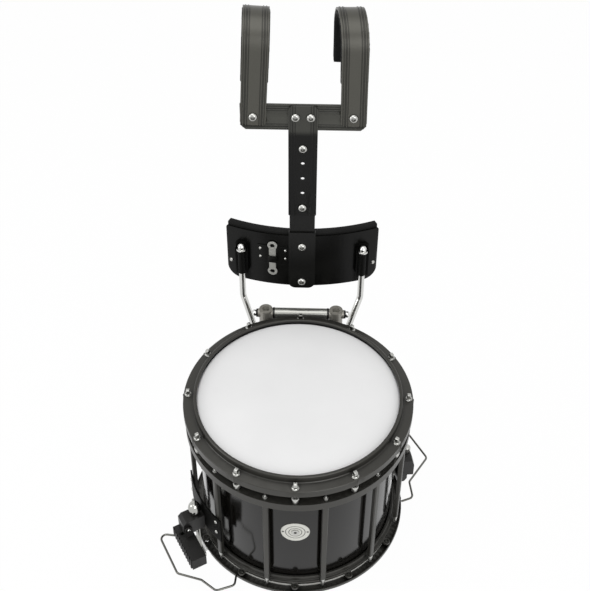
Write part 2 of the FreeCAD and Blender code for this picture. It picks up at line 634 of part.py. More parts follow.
def make_screw_set(inner):
    """Low domed screw heads that hold the two arc plates to the struts."""
    doc.recompute()
    screws = []
    for turn, sides, heights in (
            (STRAINER_TURN, (-1, 1), (size("saddle_base") + 21, size("saddle_base") + 50)),
            (BUTT_TURN, (1,), (size("butt_base") + 48, size("butt_base") + 80))):
        for side in sides:
            for height in heights:
                screw = taper(12, 4.0, 2.4, 1.8)
                screw.rotate(V(), V(0, 1, 0), 90)
                screw.translate(V(amount(inner + "+saddle_wall") + 0.02, 0, height))
                screw.rotate(V(), V(0, 0, 1), side * STEP / 2 + amount(turn))
                screws.append(screw)
    node("saddle_screws", feature("saddle_screws", Part.makeCompound(screws)))


def make_butt():
    """Butt end: an arc casting over the snare clamp that rises into a tower with its own knob."""
    face = "strut_circle+strut_depth/2+0.25+saddle_wall"
    plate = saddle("butt_saddle", BUTT_TURN, "butt_base+34", "butt_base+94")
    local_set("butt_saddle", plate, BUTT_TURN)
    seat = face + "+0.15"
    base = revolved("butt_base_body", [
        ("low_hoop_radius+1.5", "butt_base"), ("butt_reach-5", "butt_base"),
        ("butt_reach", "butt_base+8"), ("butt_reach", "butt_top-5"), ("butt_reach-6", "butt_top"),
        (seat, "butt_top"), (seat, "butt_base+34"), ("low_hoop_radius+1.5", "butt_base+24")], "26")
    turned(base, "357")
    tower = revolved("butt_tower", [
        (seat, "tower_base"), ("tower_reach", "tower_base"), ("tower_reach", "tower_top-12"),
        ("tower_reach-4", "tower_top"), (seat, "tower_top")], "tower_width")
    turned(tower, "360-tower_angle")
    slot = block("butt_slot", ("snare_reach-7", "-snare_offset-clamp_half-2", "butt_base-1"),
                 ("snare_reach+clamp_depth+2", "-snare_offset+clamp_half+2", "butt_top-6"))
    bore = rod("butt_screw_bore", "3.3", "20", ("butt_knob_reach", "0", "tower_top-15"))
    cuts = fused("butt_cuts", slot, turned_about_axis(bore, "360-tower_angle"))
    local_set("butt_block", cut("butt_block_cut", fused("butt_blank", base, tower), cuts), BUTT_TURN)


# Wire guards

def bent_wire(points, radius, bend, sides):
    """Even-sided bar along straight runs joined by tangent arcs."""
    edges = []
    last = points[0]
    for index in range(1, len(points) - 1):
        before, here, after = points[index - 1], points[index], points[index + 1]
        into = (here - before).normalize()
        away = (after - here).normalize()
        turn = into.getAngle(away)
        reach = bend * math.tan(turn / 2)
        start = here - into * reach
        end = here + away * reach
        middle_line = (away - into).normalize()
        centre = here + middle_line * (bend / math.cos(turn / 2))
        through = centre - middle_line * bend
        edges.append(Part.LineSegment(last, start).toShape())
        edges.append(Part.Arc(start, through, end).toShape())
        last = end
    edges.append(Part.LineSegment(last, points[-1]).toShape())
    path = Part.Wire(edges)
    first = points[0]
    profile = polygon(sides, radius)
    profile.Placement = FreeCAD.Placement(first, FreeCAD.Rotation(V(0, 0, 1), points[1] - first))
    return path.makePipeShell([profile], True, False)


def make_guards():
    """Bent wire round the strainer and round the butt, both ends held at the bottom hoop."""
    doc.recompute()
    height = size("guard_height")
    ring = size("low_hoop_radius") + 0.75
    strainer_route = [(190, 112), (224, 106), (238, 74), (271, 41), (269, -53), (243, -34)]
    butt_route = [(197, -107), (211.5, -72.5), (275, -40.5), (276, 44), (247, 56)]
    for label, turn, route, start, end in (
            ("strainer_guard", STRAINER_TURN, strainer_route, 28, -7),
            ("butt_guard", BUTT_TURN, butt_route, -31, 14)):
        route = [on_circle(ring, start)] + route + [on_circle(ring, end)]
        points = [V(across, along, height) for across, along in route]
        wire = bent_wire(points, size("wire_radius"), size("guard_bend"), 8)
        wire.rotate(V(), V(0, 0, 1), amount(turn))
        node(label, feature(label, wire))


def on_circle(radius, angle):
    return radius * math.cos(math.radians(angle)), radius * math.sin(math.radians(angle))


# Swivel mount behind the drum

def make_mount():
    doc.recompute()
    reach, height = size("mount_reach"), size("mount_height")
    half = size("tube_length") / 2
    start = ("-tube_length/2", "mount_reach", "mount_height")
    tube = rod("tube_outside", "tube_radius", "tube_length", start, "x")
    hollow = rod("tube_inside", "tube_bore", "tube_length", start, "x")
    node("mount_tube", cut("mount_tube", tube, hollow))
    outer = size("strut_circle") + size("strut_depth") / 2
    arms = []
    for side in (-1, 1):
        near = side * half if side > 0 else side * half - size("arm_wall")
        front = math.sqrt((outer + 0.05) ** 2 - half ** 2)
        ring_front = math.sqrt((size("ring_radius") + 0.5) ** 2 - half ** 2)
        base = 205.0
        profile = Part.makePolygon([
            V(near, ring_front, height - 22), V(near, reach - 4, height - size("arm_end") + 0.6),
            V(near, reach + 6, height - 8), V(near, reach + 2, height - 26), V(near, ring_front + 5, base),
            V(near, front + 0.8, base), V(near, front + 0.8, 256), V(near, ring_front, 256),
            V(near, ring_front, height - 22)])
        web = Part.Face(profile).extrude(V(size("arm_wall"), 0, 0))
        eye = Part.makeCylinder(size("arm_end"), size("arm_wall"), V(near, reach, height), V(1, 0, 0))
        flange = Part.makeBox(24, 3, 50, V(-12, 0, 0))
        flange.rotate(V(), V(0, 0, 1), -side * STEP / 2)
        angle = math.radians(90 - side * STEP / 2)
        flange.translate(V((outer + 0.05) * math.cos(angle), (outer + 0.05) * math.sin(angle), 205))
        arm = web.fuse(eye).fuse(flange).removeSplitter()
        bore = Part.makeCylinder(size("axle_radius") + size("axle_play"), size("arm_wall") + 2,
                                 V(near - 1, reach, height), V(1, 0, 0))
        arms.append(arm.cut(bore))
    node("mount_arms", feature("mount_arms", Part.makeCompound(arms)))
    screws = []
    for side in (-1, 1):
        for level in (216, 244):
            screw = taper(12, 4.2, 3.0, 2.2, 3.02)
            screw.rotate(V(), V(1, 0, 0), -90)
            screw.translate(V(side * 7.6, outer + 0.05, level))
            screw.rotate(V(), V(0, 0, 1), -side * STEP / 2)
            screws.append(screw)
    node("mount_screws", feature("mount_screws", Part.makeCompound(screws)))


def sideways(shape, side, along):
    """Lays a piece made on the Z axis along the swivel's axis, pointing outwards."""
    shape.rotate(V(), V(0, 1, 0), side * 90)
    shape.translate(V(side * along, size("mount_reach"), size("mount_height")))
    return shape


def make_sockets():
    """Socket castings on the axle; the carrier's rod tips go up into them from below."""
    doc.recompute()
    reach, height = size("mount_reach"), size("mount_height")
    spread = size("socket_spread")
    inner = size("tube_length") / 2 + size("arm_wall") + size("arm_play")
    axle = sideways(prism(16, size("axle_radius"), 2 * inner + 3), 1, -inner - 1.5)
    castings, washers, bolts = [], [], []
    for side in (-1, 1):
        low = size("socket_top") - size("socket_length")
        barrel = prism(24, size("socket_radius"), size("socket_length"), low)
        bore_radius = amount("leg_radius+socket_play") * 1.02
        bore = prism(16, bore_radius, size("socket_length") + 2, low - 1)
        for shape in (barrel, bore):
            shape.translate(V(side * spread, reach, 0))
        inner_boss = sideways(prism(16, 10.5, spread - inner), side, inner)
        outer_boss = sideways(prism(16, 8.6, 15.2), side, spread)
        pinch = sideways(prism(12, size("pinch_radius") * 1.05, 20), side, spread)
        seat = sideways(prism(16, size("axle_radius"), 1.5), side, inner)
        casting = barrel.fuse([inner_boss, outer_boss])
        castings.append(casting.cut(bore).cut(pinch).cut(seat).removeSplitter())
        start = spread + 15.2
        washer = prism(16, size("pinch_washer"), size("pinch_washer_height")).cut(
            prism(12, size("pinch_radius") * 1.05, 20, -1))
        deep = start - spread - 7.6 + size("pinch_washer_height")
        bolt = prism(12, size("pinch_radius"), deep, -deep).fuse(
            [prism(12, size("pinch_head"), 5), taper(12, size("pinch_head"), size("pinch_head") - 2,
                                                     size("pinch_head_height") - 5, 5)])
        washer = sideways(washer, side, start)
        bolt = sideways(bolt, side, start + size("pinch_washer_height"))
        washers.append(washer)
        bolts.append(bolt.removeSplitter())
    node("sockets", feature("sockets", Part.makeCompound(castings)))
    node("pinch_washers", feature("pinch_washers", Part.makeCompound(washers)))
    node("pinch_bolts", feature("pinch_bolts", Part.makeCompound(bolts)))
    node("axle", feature("axle", axle))


# Carrier: J-rods, belly plate, bars and shoulder straps

def make_legs():
    doc.recompute()
    guides, caps = [], []
    for label, side in (("left_j_rod", -1), ("right_j_rod", 1)):
        top = V(side * size("leg_spread"), size("leg_reach"), size("sleeve_top") + 3)
        knee = V(side * size("leg_spread"), size("leg_reach"), size("leg_knee"))
        tip = V(side * size("socket_spread"), size("mount_reach"), size("tip_height_up"))
        foot = V(tip.x, tip.y, size("hook_height"))
        across = foot - V(knee.x, knee.y, size("hook_height"))
        low = V(knee.x, knee.y, size("hook_height")) + across * size("hook_share")
        leg = bent_wire([top, knee, low, foot, tip], size("leg_radius"), size("leg_bend"), 16)
        node(label, feature(label, leg))
        sleeve_length = size("sleeve_top") - size("sleeve_base")
        sleeve = prism(20, amount("leg_radius+sleeve_play+sleeve_wall"), sleeve_length, size("sleeve_base"))
        sleeve.translate(V(top.x, top.y, 0))
        plate_y = plate_surface(abs(top.x) - 4)
        half, low_end = size("block_half"), size("block_base")
        base = Part.makeBox(2 * half, plate_y - top.y + 6, size("block_top") - low_end,
                            V(top.x - half, top.y, low_end))
        upper = [edge for edge in base.Edges
                 if abs(edge.Vertexes[0].Y - edge.Vertexes[-1].Y) > 5
                 and edge.Vertexes[0].Z > size("block_top") - 1]
        base = base.makeFillet(10, upper)
        base = base.cut(Part.makeCylinder(size("plate_curve") + 0.15, 200,
                                          V(0, size("plate_front") + size("plate_curve"), 250)))
        bore = prism(16, (size("leg_radius") + size("sleeve_play")) * 1.02, 120, 320)
        relief = prism(16, size("cap_nut") + 1.5, 40, size("sleeve_top"))
        for shape in (bore, relief):
            shape.translate(V(top.x, top.y, 0))
        guide = base.fuse(sleeve).cut(bore).cut(relief).removeSplitter()
        guides.append(guide)
        cap = prism(16, size("cap_nut"), 3).fuse([prism(6, 7, 6, 3), taper(12, 6, 3, 6, 9)])
        cap.translate(V(top.x, top.y, size("sleeve_top") + 3.3))
        caps.append(cap.removeSplitter())
    node("rod_guides", feature("rod_guides", Part.makeCompound(guides)))
    node("cap_nuts", feature("cap_nuts", Part.makeCompound(caps)))


def plate_surface(across):
    """Y of the belly plate's front face at a distance from the middle."""
    curve = size("plate_curve")
    return size("plate_front") + curve - math.sqrt(curve ** 2 - across ** 2)


def sector(name, inner, outer, low, high, half_angle):
    """Part of a ring about the belly plate's own axis, centred on the drum's side."""
    body = revolved(name, [(inner, low), (outer, low), (outer, high), (inner, high)], half_angle)
    body.Placement = FreeCAD.Placement(V(0, amount("plate_front+plate_curve"), 0),
                                       FreeCAD.Rotation(V(0, 0, 1), -90))
    body.setExpression("Placement.Base.y", bound("plate_front+plate_curve"))
    return body


def make_belly():
    body = sector("belly_sheet", "plate_curve-plate_wall", "plate_curve", "plate_base",
                  "plate_base+plate_height", "2*plate_half_angle")
    doc.recompute()
    sheet_shape = body.Shape
    lower = [edge for edge in sheet_shape.Edges
             if edge.Length < size("plate_wall") + 0.2 and edge.BoundBox.ZMax < size("plate_base") + 1]
    upper = [edge for edge in sheet_shape.Edges
             if edge.Length < size("plate_wall") + 0.2 and edge.BoundBox.ZMin > size("plate_base") + 50]
    rounded = doc.addObject("Part::Fillet", "belly_rounded")
    rounded.Base = body
    rounded.Edges = [(index + 1, size("plate_corner"), size("plate_corner"))
                     for index, edge in enumerate(sheet_shape.Edges) if match(edge, lower)]
    rounded.Edges += [(index + 1, 4.0, 4.0)
                      for index, edge in enumerate(sheet_shape.Edges) if match(edge, upper)]
    node("belly_plate", rounded)
    node("belly_pad", feature("belly_pad", belly_foam()))


def match(edge, group):
    return any(edge.isSame(other) for other in group)


def belly_foam():
    """Foam behind the belly plate: crowned towards the wearer, drawn in along its edges."""
    back = size("plate_curve") - size("plate_wall") - 0.1
    inner = back - size("pad_thickness")
    low = size("plate_base") + 2
    high = size("plate_base") + size("plate_height") - 1
    crown, soft = size("pad_crown"), 6.0
    middle = (low + high) / 2
    profile = [V(back, 0, low), V(inner + crown + soft, 0, low), V(inner + crown, 0, low + soft),
               V(inner + crown / 4, 0, (low + middle) / 2), V(inner, 0, middle),
               V(inner + crown / 4, 0, (high + middle) / 2), V(inner + crown, 0, high - soft),
               V(inner + crown + soft, 0, high), V(back, 0, high)]
    section = Part.Face(Part.makePolygon(profile + profile[:1]))
    spread = 2 * size("plate_half_angle") - 0.4
    section.rotate(V(), V(0, 0, 1), -spread / 2)
    foam = section.revolve(V(), V(0, 0, 1), spread)
    blank = Part.Face(Part.makePolygon([V(inner - 1, 0, low), V(back, 0, low), V(back, 0, high),
                                        V(inner - 1, 0, high), V(inner - 1, 0, low)]))
    blank.rotate(V(), V(0, 0, 1), -spread / 2)
    blank = blank.revolve(V(), V(0, 0, 1), spread)
    corners = [edge for edge in blank.Edges if edge.BoundBox.ZLength < 0.1 and edge.BoundBox.ZMax < low + 1
               and edge.Curve.TypeId == "Part::GeomLine"]
    foam = foam.common(blank.makeFillet(size("plate_corner"), corners))
    foam.rotate(V(), V(0, 0, 1), -90)
    foam.translate(V(0, amount("plate_front+plate_curve"), 0))
    return foam


def bar_section(width, thickness):
    """Half outline of the ribbed extrusion: flat back, two pairs of ribs near the front's edges."""
    half = width / 2
    first, second = size("rib_edge"), size("rib_edge") + size("rib_step")
    rib, rise = size("rib_width"), size("rib_rise")
    front = thickness - rise
    right = [(half, 0), (half, front)]
    for start in (first, second):
        right += [(half - start, front), (half - start, front + rise), (half - start - rib, front + rise),
                  (half - start - rib, front)]
    left = [(-across, depth) for across, depth in reversed(right)]
    return right + left


def upright_bar(width, low, high, back):
    """Ribbed bar standing along Z with its flat back at a Y and its ribs towards the front."""
    section = bar_section(width, size("bar_thickness"))
    outline_points = [V(across, back - depth, low) for across, depth in section]
    face = Part.Face(Part.makePolygon(outline_points + outline_points[:1]))
    return face.extrude(V(0, 0, high - low))


def rounded_ends(bar, width, low, high, radius, ends):
    """Rounds the corners of a bar in the XZ plane at its lower end, upper end or both."""
    half = width / 2
    blank = Part.makeBox(width, 60, high - low, V(-half, bar.BoundBox.YMin - 20, low))
    corners = [edge for edge in blank.Edges if edge.BoundBox.YLength > 50
               and (("low" in ends and edge.BoundBox.ZMax < low + 1)
                    or ("high" in ends and edge.BoundBox.ZMin > high - 1))]
    return bar.common(blank.makeFillet(radius, corners))


def make_bars():
    """Bracket, stem, tee bar and cross bar: the stem is clamped in front of the belly plate."""
    doc.recompute()
    front = size("plate_front")
    thick = size("bar_thickness")
    wall = size("bracket_wall")
    stem_width = size("stem_width")
    rim = size("bracket_rim")
    stem = Part.makeBox(stem_width, thick, size("stem_top") - size("stem_base"),
                        V(-stem_width / 2, front - thick - 0.05, size("stem_base")))
    low, high = size("bracket_base"), size("bracket_base") + size("bracket_height")
    half = stem_width / 2 + 0.1
    channel = Part.makeBox(2 * (half + rim), thick + wall + 4, high - low,
                           V(-half - rim, front - thick - wall - 0.15, low))
    channel = channel.cut(Part.makeBox(2 * half, 20, high - low + 2, V(-half, front - thick - 0.15, low - 1)))
    mask = Part.makeBox(2 * (half + rim), 60, high - low, V(-half - rim, front - 40, low))
    corners = [edge for edge in mask.Edges if edge.BoundBox.YLength > 50 and edge.BoundBox.ZMax < low + 1]
    channel = channel.common(mask.makeFillet(14, corners))
    # the plate bows away from the flat bracket, so its side walls are cut to the plate's curve
    disc = Part.makeCylinder(size("plate_curve") + 0.02, 400, V(0, front + size("plate_curve"), 200))
    channel = channel.cut(disc).removeSplitter()
    lower_bolt, upper_bolt = size("bracket_bolt_low"), size("bracket_bolt_high")
    first, pitch = size("first_hole"), size("hole_pitch")
    holes = [first + pitch * index for index in range(5)]
    bore = size("hole_radius")

    def through(levels, across=0.0, radius=bore):
        drills = []
        for level in levels:
            drill = prism(12, radius * 1.03, 60)
            drill.rotate(V(), V(1, 0, 0), -90)
            drill.translate(V(across, front - 40, level))
            drills.append(drill)
        return Part.makeCompound(drills)

    clear = size("bolt_radius") + 0.05
    node("belly_bracket", feature("belly_bracket", channel.cut(through([lower_bolt, upper_bolt], 0, clear))))
    stem = stem.cut(through([lower_bolt, upper_bolt], 0, clear))
    # the tee's two bolts run in a slot that is open at the stem's top, so that the tee can slide
    slot = Part.makeBox(2 * clear, 20, size("stem_top"), V(-clear, front - 15, holes[0]))
    foot = through([holes[0]], 0, clear)
    node("stem_bar", feature("stem_bar", stem.cut(slot).cut(foot)))
    back = front - thick - 0.35
    tee = upright_bar(size("tee_width"), size("tee_base"), size("tee_top"), back)
    tee = rounded_ends(tee, size("tee_width"), size("tee_base"), size("tee_top"), 9, ("high",))
    tee = rounded_ends(tee, size("tee_width"), size("tee_base"), size("tee_top"), 3, ("low",))
    crown = Part.makeBox(80, 10, 60, V(-40, back - 10 - thick + size("rib_rise"), 678))
    tee = tee.cut(crown).cut(through(holes, 0, bore))
    bolts_at = size("tee_bolt_half")
    level = size("strap_bolt")
    tee = tee.cut(through([level], bolts_at, clear)).cut(through([level], -bolts_at, clear))
    node("tee_bar", feature("tee_bar", tee))
    cross = upright_bar(size("bar_width"), -size("cross_half"), size("cross_half"), back + 0.05 + thick)
    cross.rotate(V(0, back + 0.05 + thick, 0), V(0, 1, 0), 90)
    cross.translate(V(0, 0, size("cross_base") + size("bar_width") / 2))
    trim = [V(side * size("cross_half"), back - 30, size("cross_base")) for side in (-1, 1)]
    for side, corner in zip((-1, 1), trim):
        reach = size("cross_corner")
        wedge = Part.Face(Part.makePolygon([corner, corner + V(-side * reach, 0, 0), corner + V(0, 0, reach),
                                            corner])).extrude(V(0, 60, 0))
        cross = cross.cut(wedge)
    spread = size("strap_spread")
    for across in (-spread, -bolts_at, bolts_at, spread):
        cross = cross.cut(through([level], across, clear))
    node("cross_bar", feature("cross_bar", cross))
    return front, back, holes, (lower_bolt, upper_bolt)


def button_bolt(height, length):
    """Domed bolt with a hex socket: head towards +Z from the origin, shank towards -Z."""
    radius = size("bolt_head")
    dome = taper(16, radius, radius - 1.0, height * 0.5).fuse(
        taper(16, radius - 1.0, radius - 3.0, height * 0.5, height * 0.5))
    socket = prism(6, 2.4, 5, height - 2.2)
    shank = Part.makeCylinder(size("bolt_radius"), length, V(0, 0, -length))
    return dome.fuse(shank).cut(socket).removeSplitter()


def standing_bolts(label, places, length):
    """Bolts with their heads towards the front at the given X, Y, Z places."""
    bolts = []
    for across, depth, level in places:
        bolt = button_bolt(size("bolt_head_height"), length)
        bolt.rotate(V(), V(1, 0, 0), 90)
        bolt.translate(V(across, depth, level))
        bolts.append(bolt)
    return node(label, feature(label, Part.makeCompound(bolts)))


def make_carrier_bolts(front, back, holes, bracket_bolts):
    thick = size("bar_thickness")
    rise = size("rib_rise")
    seat = front - thick - size("bracket_wall") - 0.15
    standing_bolts("bracket_bolts", [(0, seat, level) for level in bracket_bolts], 7.4)
    tee_face = back - thick + rise
    places = [(0, tee_face, level) for level in (holes[0], holes[-1])]
    places += [(side * size("tee_bolt_half"), tee_face, size("strap_bolt")) for side in (-1, 1)]
    standing_bolts("harness_bolts", places, 2 * thick - rise)


def arch_solid(section, back, low, tail, drift):
    """Lofts a section up from a height, over the shoulder and down again, drifting sideways."""
    arch = size("strap_arch")
    centre_y = back + arch - size("bar_thickness")
    bend = size("strap_bend")
    steps = 12
    stations = [(0.0, low - bend)] + [(math.pi * step / steps, 0.0) for step in range(steps + 1)]
    stations.append((math.pi, -tail))
    wires = []
    for angle, lift in stations:
        corners = []
        for across, radius in section:
            y = centre_y - radius * math.cos(angle)
            corners.append(V(across - drift * (y - back), y, bend + radius * math.sin(angle) + lift))
        wires.append(Part.makePolygon(corners + corners[:1]))
    return Part.makeLoft(wires, True, True)


def make_strap(side, label, lean, drift, back):
    width = size("strap_width")
    thick = size("bar_thickness")
    arch = size("strap_arch")
    section = [(across, arch - thick + depth) for across, depth in bar_section(width, thick)]
    low = size("strap_end")
    strap = arch_solid(section, back, low, size("strap_tail"), drift)
    strap = strap.common(blunt_mask(width, low, back - 100, 300, drift, back))
    level = size("strap_bolt")
    hole = Part.makeCylinder(size("bolt_radius") + 0.1, 60, V(0, back - 30, level), V(0, 1, 0))
    placed = []
    for shape in (strap.cut(hole), strap_foam(width, back, drift)):
        shape.rotate(V(0, 0, level), V(0, 1, 0), lean)
        shape.translate(V(side * size("strap_spread"), 0, 0))
        placed.append(shape)
    node(f"{label}_strap", feature(f"{label}_strap", placed[0]))
    node(f"{label}_strap_pad", feature(f"{label}_strap_pad", placed[1]))


def blunt_mask(width, low, start, depth, drift, back):
    """Block that rounds a strap's lower corners in front and leaves the rest of it alone."""
    room = width / 2 + 30
    block = Part.makeBox(width + 1.2, depth, 400, V(-width / 2 - 0.6, start, low))
    corners = [edge for edge in block.Edges
               if edge.BoundBox.YLength > depth - 1 and edge.BoundBox.ZMax < low + 1]
    front = block.makeFillet(size("strap_corner"), corners)
    return front.fuse(Part.makeBox(2 * room, depth, 400, V(-room, start, low + 2 * size("strap_corner"))))


def make_strap_bolts(back):
    """The two bolts on which the shoulder straps turn."""
    thick = size("bar_thickness")
    places = [(side * size("strap_spread"), back - thick + size("rib_rise"), size("strap_bolt"))
              for side in (-1, 1)]
    standing_bolts("strap_bolts", places, 2 * thick - size("rib_rise"))


def strap_foam(width, back, drift):
    """Foam strip glued inside the strap: flat against the bar, crowned on the shoulder's side."""
    outer = size("strap_arch") - size("bar_thickness") - 0.1
    inner = outer - size("foam_thickness")
    half = width / 2 + size("foam_overhang")
    crown = size("foam_crown")
    section = [(-half, outer), (half, outer), (half - 0.5, inner + crown + 2), (half - 4, inner + crown),
               (0, inner), (4 - half, inner + crown), (0.5 - half, inner + crown + 2)]
    low = size("strap_bend") - size("foam_start")
    return arch_solid(section, back, low, size("strap_tail") - 3, drift)


def make_straps(back):
    make_strap(-1, "left", size("left_lean"), size("left_drift"), back)
    make_strap(1, "right", -size("right_lean"), size("right_drift"), back)
    make_strap_bolts(back)


def make_key():
    """Tuning key kept on the belly plate: a flat double-ring spanner under a riveted band."""
    across = size("key_offset")
    angle = math.degrees(math.asin(across / size("plate_curve")))
    centre = V(0, size("plate_front") + size("plate_curve"), 0)

    def seat(shape):
        """Stands a piece drawn in front of X = 0 at the key's place round the plate."""
        shape.translate(V(0, size("plate_front"), 0))
        shape.rotate(centre, V(0, 0, 1), angle)
        return shape

    wall, foot, span = size("key_wall"), size("key_foot"), size("key_span")
    gap = 1.0 + size("holder_wall")
    rings = [Part.makeCylinder(size("key_ring_radius"), wall, V(0, -gap - wall, level), V(0, 1, 0))
             for level in (foot + 9.4, foot + 9.4 + span + 4)]
    shank = Part.makeBox(size("key_shank"), wall, span - 8, V(-size("key_shank") / 2, -gap - wall, foot + 15))
    key = rings[0].fuse(rings[1]).fuse(shank)
    for level, bore in ((foot + 9.4, size("key_ring_bore")), (foot + 9.4 + span + 4, size("key_ring_bore"))):
        hole = Part.makePolygon([V(bore * math.cos(math.radians(60 * step)), -gap - wall - 1,
                                   level + bore * math.sin(math.radians(60 * step))) for step in range(7)])
        key = key.cut(Part.Face(hole).extrude(V(0, wall + 2, 0)))
    node("tuning_key", feature("tuning_key", seat(key.removeSplitter())))
    half = size("holder_width") / 2
    band_low = size("holder_base") + 3
    curve = size("plate_curve")
    tab = revolve_sector(curve + 0.15, curve + size("holder_wall"), size("holder_base") - 2,
                         size("holder_base") + size("holder_height"), angle, half / curve)
    arch_low, arch_high = band_low + 2, band_low + 2 + size("band_height")
    clear = 0.5
    skin = 1.6
    over_corner = V(-size("key_shank") / 2 - clear - skin, -gap - wall - clear - skin, arch_low)
    over = Part.makeBox(size("key_shank") + 2 * (clear + skin), gap + wall + clear + skin,
                        arch_high - arch_low, over_corner)
    under = Part.makeBox(size("key_shank") + 2 * clear, wall + 2 * clear, arch_high - arch_low + 2,
                         V(-size("key_shank") / 2 - clear, -gap - wall - clear, arch_low - 1))
    over = seat(over.cut(under)).cut(Part.makeCylinder(curve + 0.5, 500, centre + V(0, 0, 200)))
    node("key_holder", feature("key_holder", tab.fuse(over).removeSplitter()))
    rivets = []
    for side in (-1, 1):
        for level in (size("holder_base") + 13, size("holder_base") + 33):
            head = taper(12, 3.2, 1.8, 1.6)
            head.rotate(V(), V(1, 0, 0), 90)
            head.translate(V(0, size("plate_front") - size("holder_wall") - 0.05, level))
            head.rotate(centre, V(0, 0, 1), angle + side * math.degrees((half - 5.5) / curve))
            rivets.append(head)
    for side in (-1, 1):
        head = taper(12, 4.4, 2.6, 2.2)
        head.rotate(V(), V(1, 0, 0), 90)
        head.translate(V(0, size("plate_front") - 0.05, size("plate_base") + size("rivet_rise")))
        head.rotate(centre, V(0, 0, 1), side * (size("plate_half_angle") - 1.3))
        rivets.append(head)
    node("plate_rivets", feature("plate_rivets", Part.makeCompound(rivets)))


def revolve_sector(inner, outer, low, high, angle, half_angle):
    """Sector of a ring about the belly plate's axis, round an angle from the front."""
    face = Part.Face(Part.makePolygon([V(inner, 0, low), V(outer, 0, low), V(outer, 0, high),
                                       V(inner, 0, high), V(inner, 0, low)]))
    face.rotate(V(), V(0, 0, 1), -90 + angle - math.degrees(half_angle))
    solid = face.revolve(V(), V(0, 0, 1), 2 * math.degrees(half_angle))
    solid.translate(V(0, size("plate_front") + size("plate_curve"), 0))
    return solid


make_shell()
make_heads()
make_top_hoop()
make_rings()
make_bottom_hoop()
make_top_rods()
make_bottom_rods()
make_struts()
make_vent()
make_snares()
make_strainer()
make_butt()
make_knobs()
make_guards()
make_mount()
make_sockets()
make_legs()
make_belly()
FRONT, BACK, HOLES, BRACKET_BOLTS = make_bars()
make_carrier_bolts(FRONT, BACK, HOLES, BRACKET_BOLTS)
make_straps(BACK)
make_key()
doc.recompute()

faults = [item.Name for item in doc.Objects if "Invalid" in item.State or "Error" in item.State]
if faults:
    raise RuntimeError(f"objects that did not build: {faults}")
os.makedirs("parts", exist_ok=True)
for item in NODES:
    shape = item.Shape
    if shape.isNull() or not shape.isValid():
        raise RuntimeError(f"{item.Label} has no valid shape")
    shape.exportStep(f"parts/{item.Label}.step")
    box = shape.BoundBox
    print(f"{item.Label:24s} solids {len(shape.Solids):3d} volume {shape.Volume:11.0f}  "
          f"x {box.XMin:7.1f} {box.XMax:7.1f}  y {box.YMin:7.1f} {box.YMax:7.1f}  "
          f"z {box.ZMin:7.1f} {box.ZMax:7.1f}")
print(len(NODES), "nodes")
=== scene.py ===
import json
import math

import bmesh
import bpy
import numpy as np
from mathutils import Matrix, Vector


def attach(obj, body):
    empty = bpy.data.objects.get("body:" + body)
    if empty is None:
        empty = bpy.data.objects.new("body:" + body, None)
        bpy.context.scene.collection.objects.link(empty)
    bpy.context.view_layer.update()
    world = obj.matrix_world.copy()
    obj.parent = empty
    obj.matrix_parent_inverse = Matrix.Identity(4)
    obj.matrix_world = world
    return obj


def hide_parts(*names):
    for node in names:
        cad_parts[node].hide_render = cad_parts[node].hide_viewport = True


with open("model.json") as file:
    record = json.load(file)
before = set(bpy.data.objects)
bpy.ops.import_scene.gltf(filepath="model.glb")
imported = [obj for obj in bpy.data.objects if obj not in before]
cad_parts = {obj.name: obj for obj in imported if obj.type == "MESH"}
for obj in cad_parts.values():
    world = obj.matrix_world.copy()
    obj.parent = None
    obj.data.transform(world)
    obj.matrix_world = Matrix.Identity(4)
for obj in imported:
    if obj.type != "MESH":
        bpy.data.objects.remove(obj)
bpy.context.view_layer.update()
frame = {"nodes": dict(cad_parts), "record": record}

# Camera, floor and light
# A long lens about 1.8 m away looks down at the batter head at some 40 degrees. The ground is
# plain white, and white panels overhead and in front give the soft, even light of a studio.
MM = 0.001
camera_data = bpy.data.cameras.new("camera")
camera = bpy.data.objects.new("camera", camera_data)
bpy.context.scene.collection.objects.link(camera)
camera_data.sensor_fit = "HORIZONTAL"
camera_data.sensor_width = 36.0
camera_data.lens = 61.43
camera_data.shift_x, camera_data.shift_y = -0.002, -0.0837
camera_data.clip_start, camera_data.clip_end = 0.1, 50.0
stand = Vector((0.02106, -1.17562, 1.65457))
sight = Vector((-0.01679, 0.76232, -0.64699))
upwards = Vector((-0.01911, 0.64671, 0.76249))
turn = Matrix((sight.cross(upwards), upwards, -sight)).transposed()
camera.matrix_world = Matrix.Translation(stand) @ turn.to_4x4()
bpy.context.scene.camera = camera
bpy.context.scene.view_settings.view_transform = "Standard"


def linear(code):
    """sRGB hex code to linear light: each channel c becomes ((c + 0.055) / 1.055) ** 2.4."""
    parts = [int(code[i:i + 2], 16) / 255 for i in (1, 3, 5)]
    return [c / 12.92 if c <= 0.04045 else ((c + 0.055) / 1.055) ** 2.4 for c in parts] + [1.0]


def add(tree, kind, inputs=None, **settings):
    """Adds one node, sets its properties, and fills its inputs with values or other nodes' outputs."""
    made = tree.nodes.new(kind)
    for key, value in settings.items():
        setattr(made, key, value)
    for key, value in (inputs or {}).items():
        if isinstance(value, bpy.types.NodeSocket):
            tree.links.new(value, made.inputs[key])
        else:
            made.inputs[key].default_value = value
    return made


